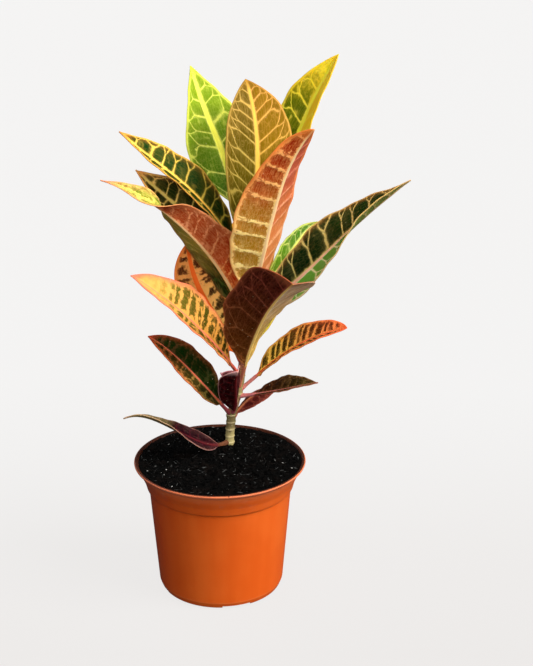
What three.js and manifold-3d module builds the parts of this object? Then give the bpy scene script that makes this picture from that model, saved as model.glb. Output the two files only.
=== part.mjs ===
// A young croton in a flared plastic grower's pot: pot, soil, woody stem, and twenty-two leaves with stalks.
// Millimetres, +Z up, origin at the middle of the pot's flat underside. The plant's front looks towards -Y.
import * as THREE from "three";
import { mergeVertices } from "three/addons/utils/BufferGeometryUtils.js";
import Module from "manifold-3d";

const wasm = await Module();
wasm.setup();
const { Manifold, Mesh } = wasm;

const FIT = 0.3; // gap kept between neighbouring pieces

// Pot: radius and height of the outer profile, from the base over the side, the step and the band to the lip
const POT_HEIGHT = 102.4;
const POT_FLOOR = 2.2; // thickness of the floor's middle
const POT_LEDGE = 5.2; // top of the floor's raised ring, over the drain notches
const POT_SIDES = 44;
const POT_OUTSIDE = [
  [43.5, 0], [45.6, 1.0], [47.4, 5.5], [53.6, 81.2], [55.2, 82.2],
  [56.8, 88.2], [59.6, 94.6], [62, 98.8], [64, 100.6], [64.6, 101.6], [64.0, POT_HEIGHT],
];
// The inner profile, from the lip down to the floor
const POT_INSIDE = [
  [62.6, 102.5], [61.7, 101.7], [60.3, 99.3], [58.0, 95.0], [55.3, 88.6], [53.6, 83.4], [52.0, 80],
  [45.8, 6.6], [44.2, POT_LEDGE], [36.5, POT_LEDGE], [33.5, POT_FLOOR],
];
const NOTCH_COUNT = 4;
const NOTCH_TURN = -73.4; // bearing of the first notch, degrees
const NOTCH_FROM = 37.5; // radius where a notch starts
const NOTCH_DEEP = 16;
const NOTCH_WIDE = 22;
const NOTCH_HIGH = 2.4;
const DRAIN_R = 3; // the hole in each notch
const DRAIN_AT = 41.2; // its distance from the pot's axis
const DRAIN_SIDES = 20;
const CUT_OVER = 2; // how far a cutter passes the surface

// Soil
const SOIL_LEVEL = 101.2; // at the pot's wall
const SOIL_MOUND = 1.0; // rise round the stem
const SOIL_MOUND_WIDE = 30;
const SOIL_RINGS = 8;

// Stem: x, y, z and radius along its axis
const STEM = [
  [6, 24, 62, 4.4], [6.4, 24, 98, 3.2], [7, 23.6, 113, 3.3], [8.4, 23, 128, 3.5], [11, 22.4, 139, 3.6],
  [13.4, 22, 148, 3.5], [17, 21, 170, 3.2], [20, 20, 195, 3.0], [22, 20, 225, 2.8], [22, 20, 253, 2.4],
  [22, 20, 256, 2.1],
];
const STEM_SIDES = 12;
const STEM_FOOT = STEM[0][2]; // the stem stands in the soil down to here
const STEM_TOP = STEM.at(-1)[2]; // the uppermost leaf stands on this end
const SCARS = [104, 110, 117, 123, 129, 147, 161, 176, 193, 209, 222, 238, 250]; // heights of the leaf scars
const SCAR_STEP = 0.35; // how far a scar stands out
const SCAR_BELOW = 1.2;
const SCAR_ABOVE = 0.5;

// Leaves: what they share
const BLADE_THICK = 0.7;
const RIB_HIGH = 0.9; // midrib under the blade, at its foot
const RIB_WIDE = 1.7; // its half width at its foot
const STALK_R = 1.4;
const STALK_FOOT_R = 2.0;
const TIP_HALF = 0.35; // half width that the blade keeps at its tip
const STALK_HALF = 0.9; // and what it keeps besides at its foot
const GROWN_OVER = 0.07; // share of the blade in which the round stalk turns into it
const FOLD_OVER = 1 / 6; // share of the blade in which its halves rise
const TWIST_FROM = 0.58; // where a sharp twist starts
const TWIST_OVER = 0.24; // and the share of the blade that it takes
const WAVE_SHARE = 0.03; // the margin's ripple, over the leaf's half width
const WAVES = 3;
const WAVE_OFFSET = 1.9; // between the two margins, radians
const WAVE_SHIFT = 2.4; // from one leaf to the next, radians

// One entry a leaf. root: height on the stem where the stalk leaves it. near, far: points of the midrib a
// third and two thirds of the way. stalk: bare length. half: greatest half width. face: where the upper side
// looks. fold: rise of the left and right half, degrees. widest: its place along the blade. full, base,
// point: powers that shape the edge as a whole, towards the foot and towards the tip. turn: even twist from
// foot to tip. twist: the sharp one.
const LEAVES = [
  {
    name: "leaf_01", colour: 0xa8c43a, root: 237, near: [11, 41, 302], far: [-5, 53, 344],
    tip: [-20, 60, 387],
    stalk: 48, half: 26, face: [0.2, -0.9, 0.3], fold: [15, 15], widest: 0.42, base: 1.8, point: 1, turn: 80,
  },
  {
    name: "leaf_02", colour: 0x9a8420, root: 256, near: [28, 22, 313], far: [27, 31, 351], tip: [20, 46, 380],
    stalk: 12, half: 27, face: [0.3, -0.9, 0.2], fold: [18, 14], full: 2.5, base: 0.7, point: 0.95,
  },
  {
    name: "leaf_03", colour: 0xd0b427, root: 230, near: [49, 56, 308], far: [67, 69, 354], tip: [88, 80, 392],
    stalk: 34, half: 26, face: [-0.7, -0.5, 0.5], fold: [22, 26], full: 2.4, point: 0.9,
  },
  {
    name: "leaf_04", colour: 0xb4682e, root: 220, near: [34, -8, 269], far: [46, -22, 319],
    tip: [67, -34, 361],
    stalk: 14, half: 28, face: [-0.6, 0.7, 0.3], fold: [24, 22],
    widest: 0.42, full: 2.2, base: 0.9, point: 0.75,
  },
  {
    name: "leaf_05", colour: 0x4a4f14, root: 240, near: [-7, 16, 292], far: [-36, 14, 321],
    tip: [-69, 18, 348],
    stalk: 24, half: 18, face: [0.7, -0.4, 0.6], fold: [28, 28], widest: 0.48, point: 0.95,
  },
  {
    name: "leaf_06", colour: 0x2c3512, root: 224, near: [-10, 22.5, 271], far: [-35, 19, 298],
    tip: [-57.5, 11, 322],
    stalk: 24, half: 20, face: [0.6, -0.6, 0.5], fold: [20, 20],
  },
  {
    name: "leaf_07", colour: 0x8a4a22, root: 200, near: [-1, 2, 254], far: [-36, -18, 299],
    tip: [-78, -30, 325],
    stalk: 20, half: 24, face: [0.2, 0.8, 0.5], fold: [24, 30],
    widest: 0.28, full: 1.7, point: 1.3, turn: -15,
    twist: -80,
  },
  {
    name: "leaf_08", colour: 0xc8682c, root: 170, near: [-2, 20, 206], far: [-16, 25, 232],
    tip: [-23, 28, 263],
    stalk: 10, half: 17, face: [0.2, -1, 0.2], fold: [18, 18], widest: 0.6, full: 2.6, point: 0.9,
  },
  {
    name: "leaf_09", colour: 0xd8a24c, root: 160, near: [-8, -2, 200.5], far: [-34, -16, 232],
    tip: [-60, -26, 255.5],
    stalk: 14, half: 21, face: [0.8, -0.3, 0.5], fold: [26, 28], point: 0.95,
  },
  {
    name: "leaf_10", colour: 0x42201a, root: 150, near: [27, -10, 204], far: [39, -34, 236],
    tip: [53, -60, 260.5],
    stalk: 26, half: 30, face: [-0.4, 0.7, 0.6], fold: [22, 38],
    widest: 0.72, full: 3.2, base: 1.5, point: 0.85,
    turn: -45,
  },
  {
    name: "leaf_11", colour: 0x2f3f18, root: 208, near: [59, 12, 241], far: [93, 6, 277], tip: [136, -2, 318],
    stalk: 18, half: 23, face: [-0.7, -0.4, 0.6], fold: [24, 26], base: 0.8, turn: -90,
  },
  {
    name: "leaf_12", colour: 0x7c9a34, root: 226, near: [44, 30, 243], far: [58, 40, 261], tip: [73, 46, 274],
    stalk: 14, half: 14.5, face: [0.5, -0.8, 0], fold: [20, 20],
  },
  {
    name: "leaf_13", colour: 0xb4723a, root: 148, near: [41, 18, 174], far: [64, 12, 192], tip: [94, 6, 205],
    stalk: 18, half: 15, face: [-0.6, -0.2, 0.7], fold: [24, 26], widest: 0.45, full: 2.6, point: 0.65,
  },
  {
    name: "leaf_14", colour: 0x3f3c18, root: 128, near: [-11, 10, 157], far: [-31, 2, 183],
    tip: [-51, -4, 202],
    stalk: 14, half: 15.5, face: [0.7, -0.5, 0.4], fold: [22, 22], widest: 0.45, full: 2.3, point: 0.95,
  },
  {
    name: "leaf_15", colour: 0x3a1216, root: 130, near: [12, 3, 148], far: [12.5, -13, 166],
    tip: [14.6, -25.3, 183],
    stalk: 6, half: 13, face: [-0.3, 0.7, 0.7], fold: [60, 14], widest: 0.7, full: 3, base: 1.3, point: 0.7,
  },
  {
    name: "leaf_16", colour: 0x3c2812, root: 144, near: [33, 14, 150], far: [52, 6, 157], tip: [73, 0, 164],
    stalk: 14, half: 12, face: [-0.4, -0.1, 0.9], fold: [24, 26],
  },
  {
    name: "leaf_17", colour: 0x4a2018, root: 124, near: [19, 24, 138], far: [29, 27, 144], tip: [44, 30, 147],
    stalk: 6, half: 7.5, face: [0.8, 0.5, -0.4], fold: [24, 24],
  },
  {
    name: "leaf_18", colour: 0x5a2624, root: 106.4, near: [-17, 2, 116], far: [-43, -14, 138],
    tip: [-69, -24, 145.5],
    stalk: 10, half: 8.5, face: [0.6, 0, 0.8], fold: [18, 18], widest: 0.35, point: 0.8, turn: 90,
  },
  {
    name: "leaf_19", colour: 0x34141a, root: 143, near: [11, 11, 158.5], far: [5.6, 0.5, 168],
    tip: [1.6, -7, 174.5], stalk: 8, half: 7, face: [1, -0.2, 0], fold: [22, 22],
  },
  {
    name: "leaf_20", colour: 0x6a6a20, root: 192, near: [20, 48, 220], far: [22, 76, 251], tip: [24, 96, 279],
    stalk: 20, half: 21, face: [0, -0.7, 0.7], fold: [20, 20],
  },
  {
    name: "leaf_21", colour: 0x545a1c, root: 166, near: [27, 50, 193], far: [35, 72, 210], tip: [42, 88, 224],
    stalk: 18, half: 17, face: [-0.1, -0.6, 0.8], fold: [20, 20],
  },
  {
    name: "leaf_22", colour: 0x3c4a1c, root: 184, near: [11, 46, 203], far: [-1, 66, 216],
    tip: [-12, 80, 232],
    stalk: 18, half: 15, face: [-0.1, -0.5, 0.9], fold: [20, 20],
  },
];

// Helpers
const V = (x, y, z) => new THREE.Vector3(x, y, z);
const rad = THREE.MathUtils.degToRad;
const clamp = THREE.MathUtils.clamp;
const smooth = (x) => THREE.MathUtils.smoothstep(x, 0, 1);

// A closed geometry as a solid, with its seams merged and its collapsed triangles left out.
function solidOf(geometry) {
  const bare = geometry.clone();
  bare.deleteAttribute("normal");
  bare.deleteAttribute("uv");
  const merged = mergeVertices(bare);
  const index = merged.index.array;
  const triVerts = [];
  for (let i = 0; i < index.length; i += 3) {
    const [a, b, c] = index.subarray(i, i + 3);
    if (a !== b && b !== c && c !== a) triVerts.push(a, b, c);
  }
  const vertProperties = merged.getAttribute("position").array;
  return new Manifold(new Mesh({ numProp: 3, vertProperties, triVerts: new Uint32Array(triVerts) }));
}

// Rings of equal length joined into a tube, with a point closing each end.
function tube(rings, first, last) {
  const n = rings[0].length;
  const at = (i, k) => 1 + i * n + (k % n);
  const end = 1 + rings.length * n;
  const faces = [];
  for (let k = 0; k < n; k++) faces.push(0, at(0, k + 1), at(0, k));
  for (let i = 0; i + 1 < rings.length; i++)
    for (let k = 0; k < n; k++) {
      const [a, b, c, d] = [at(i, k), at(i, k + 1), at(i + 1, k), at(i + 1, k + 1)];
      // the second half of a ring repeats the first half's diagonals, so both faces of a blade bend alike
      if (k < n / 2) faces.push(a, b, d, a, d, c);
      else faces.push(a, b, c, b, d, c);
    }
  for (let k = 0; k < n; k++) faces.push(end, at(rings.length - 1, k), at(rings.length - 1, k + 1));
  const geometry = new THREE.BufferGeometry().setFromPoints([first, ...rings.flat(), last]);
  geometry.setIndex(faces);
  return solidOf(geometry);
}

// A level ring round (x, y). Its height is a number, or a function of x and y.
function levelRing(x, y, radius, z, sides) {
  return Array.from({ length: sides }, (_, k) => {
    const a = (k / sides) * 2 * Math.PI;
    const [px, py] = [x + radius * Math.cos(a), y + radius * Math.sin(a)];
    return V(px, py, typeof z === "function" ? z(px, py) : z);
  });
}

function mesh(name, body, color, roughness) {
  const { numProp, vertProperties, triVerts } = body.getMesh();
  const stored = new THREE.InterleavedBuffer(vertProperties, numProp);
  const geometry = new THREE.BufferGeometry();
  geometry.setAttribute("position", new THREE.InterleavedBufferAttribute(stored, 3, 0));
  geometry.setIndex(new THREE.BufferAttribute(triVerts, 1));
  const made = new THREE.Mesh(geometry, new THREE.MeshStandardMaterial({ color, roughness, metalness: 0 }));
  made.name = name;
  return made;
}

// Pot
function potBody() {
  const corners = [[0, 0], ...POT_OUTSIDE, ...POT_INSIDE, [0, POT_FLOOR]];
  const profile = corners.map(([r, z]) => new THREE.Vector2(r, z));
  let body = solidOf(new THREE.LatheGeometry(profile, POT_SIDES).rotateX(Math.PI / 2));
  const drainHigh = POT_LEDGE + 2 * CUT_OVER;
  for (let i = 0; i < NOTCH_COUNT; i++) {
    const bearing = rad(NOTCH_TURN + (360 / NOTCH_COUNT) * i);
    const notch = new THREE.BoxGeometry(NOTCH_DEEP, NOTCH_WIDE, NOTCH_HIGH + CUT_OVER);
    notch.translate(NOTCH_FROM + NOTCH_DEEP / 2, 0, (NOTCH_HIGH - CUT_OVER) / 2).rotateZ(bearing);
    const drain = new THREE.CylinderGeometry(DRAIN_R, DRAIN_R, drainHigh, DRAIN_SIDES).rotateX(Math.PI / 2);
    drain.translate(DRAIN_AT, 0, POT_LEDGE / 2).rotateZ(bearing);
    body = body.subtract(solidOf(notch).add(solidOf(drain)));
  }
  return body;
}

// Soil: it fills the pot FIT away from the floor and the wall, up to a lumpy top.
function soilBody(stemRoom) {
  const wall = [[0, POT_FLOOR], ...POT_INSIDE.toReversed()].map(([r, z]) => new THREE.Vector2(r, z));
  const sideways = (a, b) => new THREE.Vector2(a.y - b.y, b.x - a.x).normalize();
  const side = wall.slice(1, -1).map((p, i) => {
    const before = sideways(wall[i], p);
    const after = sideways(p, wall[i + 2]);
    const mitre = before.clone().add(after);
    return p.clone().addScaledVector(mitre, FIT / (1 + before.dot(after)));
  });
  const upper = side.findIndex((p) => p.y > SOIL_LEVEL);
  const [below, above] = [side[upper - 1], side[upper]];
  const edge = below.x + ((above.x - below.x) * (SOIL_LEVEL - below.y)) / (above.y - below.y);
  const [stemX, stemY] = STEM[1];
  const top = (x, y) => {
    const mound = SOIL_MOUND * Math.exp(-((x - stemX) ** 2 + (y - stemY) ** 2) / SOIL_MOUND_WIDE ** 2);
    const broad = 0.7 * Math.sin(0.31 * x + 1.3) * Math.cos(0.27 * y);
    const fine = 0.5 * Math.sin(0.63 * x + 0.41 * y + 0.6) + 0.4 * Math.cos(0.55 * x - 0.73 * y);
    const fade = 1 - Math.min(1, Math.hypot(x, y) / edge) ** 6;
    return SOIL_LEVEL + (mound + broad + fine) * fade;
  };
  const rings = side.filter((p) => p.y < SOIL_LEVEL - 1).map((p) => levelRing(0, 0, p.x, p.y, POT_SIDES));
  for (let k = SOIL_RINGS; k >= 1; k--) rings.push(levelRing(0, 0, (edge * k) / SOIL_RINGS, top, POT_SIDES));
  return tube(rings, V(0, 0, POT_FLOOR + FIT), V(0, 0, top(0, 0))).subtract(stemRoom);
}

// Stem
function stemAt(z) {
  const i = clamp(STEM.filter((point) => point[2] <= z).length, 1, STEM.length - 1);
  const share = clamp((z - STEM[i - 1][2]) / (STEM[i][2] - STEM[i - 1][2]), 0, 1);
  const [x, y, , r] = STEM[i - 1].map((low, k) => low + (STEM[i][k] - low) * share);
  return { axis: V(x, y, z), r };
}

// The stem, fatter by extra all round, with a low ring at each leaf scar.
function stemBody(extra) {
  const [foot, top] = [STEM_FOOT - extra, STEM_TOP + extra];
  const levels = [foot];
  for (const [, , z] of STEM.slice(1, -2)) levels.push(z);
  for (const z of SCARS) levels.push(z - SCAR_BELOW, z, z + SCAR_ABOVE);
  const ring = (z) => {
    const { axis, r } = stemAt(z);
    return levelRing(axis.x, axis.y, r + extra + (SCARS.includes(z) ? SCAR_STEP : 0), z, STEM_SIDES);
  };
  levels.push(STEM.at(-2)[2], top);
  levels.sort((a, b) => a - b);
  return tube(levels.map(ring), stemAt(foot).axis, stemAt(top).axis.setZ(top + extra));
}

// Leaf: the midrib starts on the stem's axis and passes near, far and tip.
function midrib(leaf) {
  const [from, near, far, tip] = [stemAt(leaf.root).axis, V(...leaf.near), V(...leaf.far), V(...leaf.tip)];
  const mix = (a, b, c, d) => V(0, 0, 0).addScaledVector(from, a).addScaledVector(near, b)
    .addScaledVector(far, c).addScaledVector(tip, d).divideScalar(6);
  const curve = new THREE.CubicBezierCurve3(from, mix(-5, 18, -9, 2), mix(2, -9, 18, -5), tip);
  curve.arcLengthDivisions = 400;
  return curve;
}

// The leaf a length s from its foot: the midrib's point, its upper side, its right, and the blade's place.
function frameAt(leaf, curve, length, s) {
  const along = curve.getTangentAt(s / length);
  const t = clamp((s - leaf.stalk) / (length - leaf.stalk), 0, 1);
  const face = V(...leaf.face).normalize();
  const up = face.addScaledVector(along, -face.dot(along)).normalize();
  const right = along.clone().cross(up);
  const roll = rad((leaf.turn ?? 0) * (t - 0.5) + (leaf.twist ?? 0) * smooth((t - TWIST_FROM) / TWIST_OVER));
  up.applyAxisAngle(along, roll);
  right.applyAxisAngle(along, roll);
  return { point: curve.getPointAt(s / length), up, right, t };
}

function halfWidth(leaf, t) {
  const { half, widest = 0.5, full = 2, base = 1, point = 1.15 } = leaf;
  const away = t < widest ? (widest - t) / widest : (t - widest) / (1 - widest);
  return Math.max(half * (1 - away ** full) ** (t < widest ? base : point), STALK_HALF * (1 - t) + TIP_HALF);
}

// A point of the blade: side goes from -1 at the left margin to 1 at the right, lift is its height over the
// middle of the thickness.
function bladePoint(leaf, at, half, side, lift) {
  const fold = rad(leaf.fold[side < 0 ? 0 : 1]) * smooth(at.t / FOLD_OVER);
  const phase = 2 * Math.PI * WAVES * at.t + WAVE_SHIFT * LEAVES.indexOf(leaf) + (side < 0 ? 0 : WAVE_OFFSET);
  const wave = WAVE_SHARE * leaf.half * side ** 2 * Math.sin(phase) * Math.sqrt(Math.sin(Math.PI * at.t));
  const out = side * half * Math.cos(fold) - Math.sign(side) * Math.sin(fold) * lift;
  const rise = Math.abs(side) * half * Math.sin(fold) + Math.cos(fold) * lift + wave;
  return at.point.clone().addScaledVector(at.right, out).addScaledVector(at.up, rise);
}

// A closed section of the leaf: seven points over it and seven under, round at the stalk, thin in the blade.
function leafRing(leaf, curve, length, s) {
  const at = frameAt(leaf, curve, length, s);
  const half = halfWidth(leaf, at.t);
  const rib = Math.min(0.45, (RIB_WIDE * (1 - 0.75 * at.t)) / half);
  const quarter = Math.max(0.58, (rib + 1) / 2);
  const sides = [-1, -quarter, -rib, 0, rib, quarter, 1];
  const ribs = [0, 0, 0.12, 1 - 0.8 * at.t, 0.12, 0, 0].map((share) => share * RIB_HIGH);
  const over = sides.map((side) => bladePoint(leaf, at, half, side, BLADE_THICK / 2));
  const under = sides.map((side, k) => bladePoint(leaf, at, half, side, -BLADE_THICK / 2 - ribs[k]));
  under.reverse();
  const stalk = STALK_R * (1 - 0.25 * at.t) + (STALK_FOOT_R - STALK_R) * (1 - smooth((s - 2) / 9));
  const bearings = [172, 146, 116, 90, 64, 34, 8, -8, -34, -64, -90, -116, -146, -172].map(rad);
  return [...over, ...under].map((p, k) => {
    const round = at.point.clone().addScaledVector(at.right, stalk * Math.cos(bearings[k]));
    round.addScaledVector(at.up, stalk * Math.sin(bearings[k]));
    return p.lerp(round, 1 - smooth(at.t / GROWN_OVER));
  });
}

function leafBody(leaf) {
  const curve = midrib(leaf);
  const length = curve.getLength();
  const blade = length - leaf.stalk;
  const count = Math.round(clamp(blade / 8, 9, 16));
  const stations = [0, 0.4, 0.8].map((share) => share * leaf.stalk);
  for (let i = 0; i <= count; i++) stations.push(leaf.stalk + blade * (0.02 + (0.98 * i) / (count + 0.6)));
  const rings = stations.map((s) => leafRing(leaf, curve, length, s));
  return tube(rings, curve.getPointAt(0), curve.getPointAt(1));
}

// Assembly
const group = new THREE.Group();
group.name = "potted_croton";
const stemRoom = stemBody(FIT);
group.add(mesh("pot", potBody(), 0xd8541f, 0.42));
group.add(mesh("soil", soilBody(stemRoom), 0x0f0c0a, 0.95));
group.add(mesh("stem", stemBody(0), 0xa6966a, 0.75));
for (const leaf of LEAVES) group.add(mesh(leaf.name, leafBody(leaf).subtract(stemRoom), leaf.colour, 0.4));

export default group;
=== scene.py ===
"""Finishes a young croton in its plastic pot: leaves with raised veins and painted blocks, bark, soil and moulded pot.

Lengths are in millimetres in the formulas and in metres in the meshes. Z is up, and the front looks towards -Y.
"""

import math
from dataclasses import dataclass

import bpy
import numpy as np
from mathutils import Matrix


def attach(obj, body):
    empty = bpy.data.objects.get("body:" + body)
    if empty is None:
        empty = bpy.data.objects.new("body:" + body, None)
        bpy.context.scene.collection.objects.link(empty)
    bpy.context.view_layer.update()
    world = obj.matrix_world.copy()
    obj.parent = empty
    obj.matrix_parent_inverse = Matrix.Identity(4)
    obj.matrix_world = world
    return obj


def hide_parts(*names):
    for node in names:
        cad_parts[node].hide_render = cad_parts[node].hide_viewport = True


bl_info = {
    "name": "Potted Croton",
    "version": (1, 0, 0),
    "blender": (4, 5, 0),
    "location": "View3D > Sidebar > Croton",
    "description": "Makes the leaves, stem, soil and pot of a young croton over its packed frame",
    "category": "Object",
}

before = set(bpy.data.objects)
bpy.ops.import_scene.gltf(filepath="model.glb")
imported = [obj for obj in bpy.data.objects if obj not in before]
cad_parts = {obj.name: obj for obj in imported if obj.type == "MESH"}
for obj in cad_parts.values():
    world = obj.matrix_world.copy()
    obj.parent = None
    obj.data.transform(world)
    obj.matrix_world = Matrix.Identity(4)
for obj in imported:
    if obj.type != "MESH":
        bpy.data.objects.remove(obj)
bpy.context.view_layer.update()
BODY = "root"
MM = 0.001
GOLDEN_TURN = math.radians(137.5)

# Stem: x, y, z and radius along its axis
STEM = np.array([
    (6, 24, 62, 4.4), (6.4, 24, 98, 3.2), (7, 23.6, 113, 3.3), (8.4, 23, 128, 3.5), (11, 22.4, 139, 3.6),
    (13.4, 22, 148, 3.5), (17, 21, 170, 3.2), (20, 20, 195, 3.0), (22, 20, 225, 2.8), (22, 20, 253, 2.4),
    (22, 20, 256, 2.1),
])
SCARS = np.array([106, 111, 117, 123, 129, 147, 161, 176, 193, 209, 222, 238, 250])  # heights of the leaf scars
STEM_RINGS = 460
SCAR_HIGH = 0.35
RIDGE_HIGH = 0.16
BARK_HIGH = 0.05

# Pot: radius and height of the outer and the inner profile
POT_OUTSIDE = [
    (43.5, 0), (45.6, 1.0), (47.4, 5.5), (53.6, 81.2), (55.2, 82.2), (56.8, 88.2), (59.6, 94.6), (62, 98.8),
    (64, 100.6), (64.6, 101.6), (64.0, 102.4),
]
POT_INSIDE = [
    (62.6, 102.5), (61.7, 101.7), (60.3, 99.3), (58.0, 95.0), (55.3, 88.6), (53.6, 83.4), (52.0, 80),
    (45.8, 6.6), (44.2, 5.2), (36.5, 5.2), (33.5, 2.2),
]
POT_UNDERSIDE = [(0, 0), (28, 0), (28.4, 0.35), (29.2, 0.35), (29.6, 0)]
POT_FLOOR = 2.2
NOTCH_COUNT = 4
NOTCH_TURN = -73.4
NOTCH_FROM = 37.5
NOTCH_DEEP = 16
NOTCH_WIDE = 22
NOTCH_HIGH = 2.4
DRAIN_R = 3
DRAIN_AT = 41.2
DRAIN_HIGH = 9
DRAIN_AROUND = 24
CUT_BELOW = 2
CORNER_ROUND = 0.8

# Soil: its wall is a profile of radius and height
SOIL_LEVEL = 101.2
SOIL_EDGE = 61.1
SOIL_MOUND = 1.0
SOIL_MOUND_WIDE = 30
SOIL_WALL = [(33.2, 2.5), (36.3, 5.5), (43.7, 5.5), (45.4, 7), (51.6, 80), (53.2, 83.7), (57.6, 95.0)]
SOIL_FOOT = 2.5
SOIL_AROUND = 420
SOIL_RINGS = 118
CRUMBLE = ((5.5, 0.9), (2.6, 0.7), (1.3, 0.4), (0.7, 0.15))  # width and height of each size of roughness
LUMP_RINGS = 5
LUMP_AROUND = 7
LUMPS = (  # divisor of the count, least and most radius, stretch, range of lightness, depth, seed
    (1, 0.4, 1.7, 2.0, (0.0, 0.2), 0.5, 21),
    (2, 0.3, 0.6, 8.0, (0.0, 0.72), 0.1, 22),
    (14, 0.3, 0.7, 2.4, (0.4, 0.94), 0.1, 23),
)

# Stage
FLOOR_RINGS = (100, 1000, 4000, 12000, 30000)
FLOOR_AROUND = 96
SENSOR_WIDE = 36
SUNS = (  # azimuth (None: the setting's), height, width and colour
    ("key", None, 38, 40, (1.0, 0.96, 0.89)),
    ("front", 2, 22, 25, (1.0, 0.98, 0.95)),
    ("top", -30, 68, 60, (1.0, 0.99, 0.97)),
    ("back", -150, 35, 40, (0.96, 0.98, 1.0)),
)

# What all leaves share: lengths in mm, and shares of the blade's length
BLADE_THICK = 0.7
RIB_HIGH = 0.9
RIB_WIDE = 1.7
STALK_R = 1.4
STALK_FOOT_R = 2.0
TIP_HALF = 0.35
STALK_HALF = 0.9
GROWN_OVER = 0.07
FOLD_OVER = 1 / 6
TWIST_FROM = 0.58
TWIST_OVER = 0.24
WAVE_SHARE = 0.03
WAVES = 3
WAVE_OFFSET = 1.9
WAVE_SHIFT = 2.4
CHORDS = 400
ROOT_REACH = 14  # how far along a stalk the stem's surface is looked for
ROOT_DEPTH = 0.55  # where a stalk starts in the stem, as a share of the stem's radius
ACROSS_EVEN = 0.72  # the rest of the steps across a blade lie closer to the midrib
FORK_FROM = 0.58  # share of the way to the margin where a side vein splits
FORK_OVER = 0.34
GROOVE_WIDE = 0.75
VEIN_GROWTH = 0.2
BLOCK_ROUND = 1.4
YOUNG_HALF = 22  # a narrower blade has finer ripples in proportion


@dataclass
class Leaf:
    """A leaf: where it leaves the stem and runs, how wide it is, where its upper side looks, and how it is veined."""

    name: str
    root: float  # height at which it starts on the stem
    near: tuple  # points that its midrib passes a third, two thirds and all of the way
    far: tuple
    tip: tuple
    stalk: float  # length of the stalk before the blade
    half: float  # half the blade's greatest width
    face: tuple  # direction in which the upper side looks
    fold: tuple  # degrees by which the left and the right half rise from the midrib
    widest: float = 0.5  # share of the blade at which it is widest
    full: float = 2.0  # powers of the outline: round the widest place, towards the foot and towards the tip
    base: float = 1.0
    point: float = 1.15
    turn: float = 0.0  # degrees by which it turns evenly from foot to tip
    twist: float = 0.0  # degrees by which it turns more, before the tip
    veins: float = 9.0  # side veins in each half
    lean: float = 0.45  # length that a side vein gains forward for each unit outwards
    fork: float = 1.0  # how far each side vein splits before the margin


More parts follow.
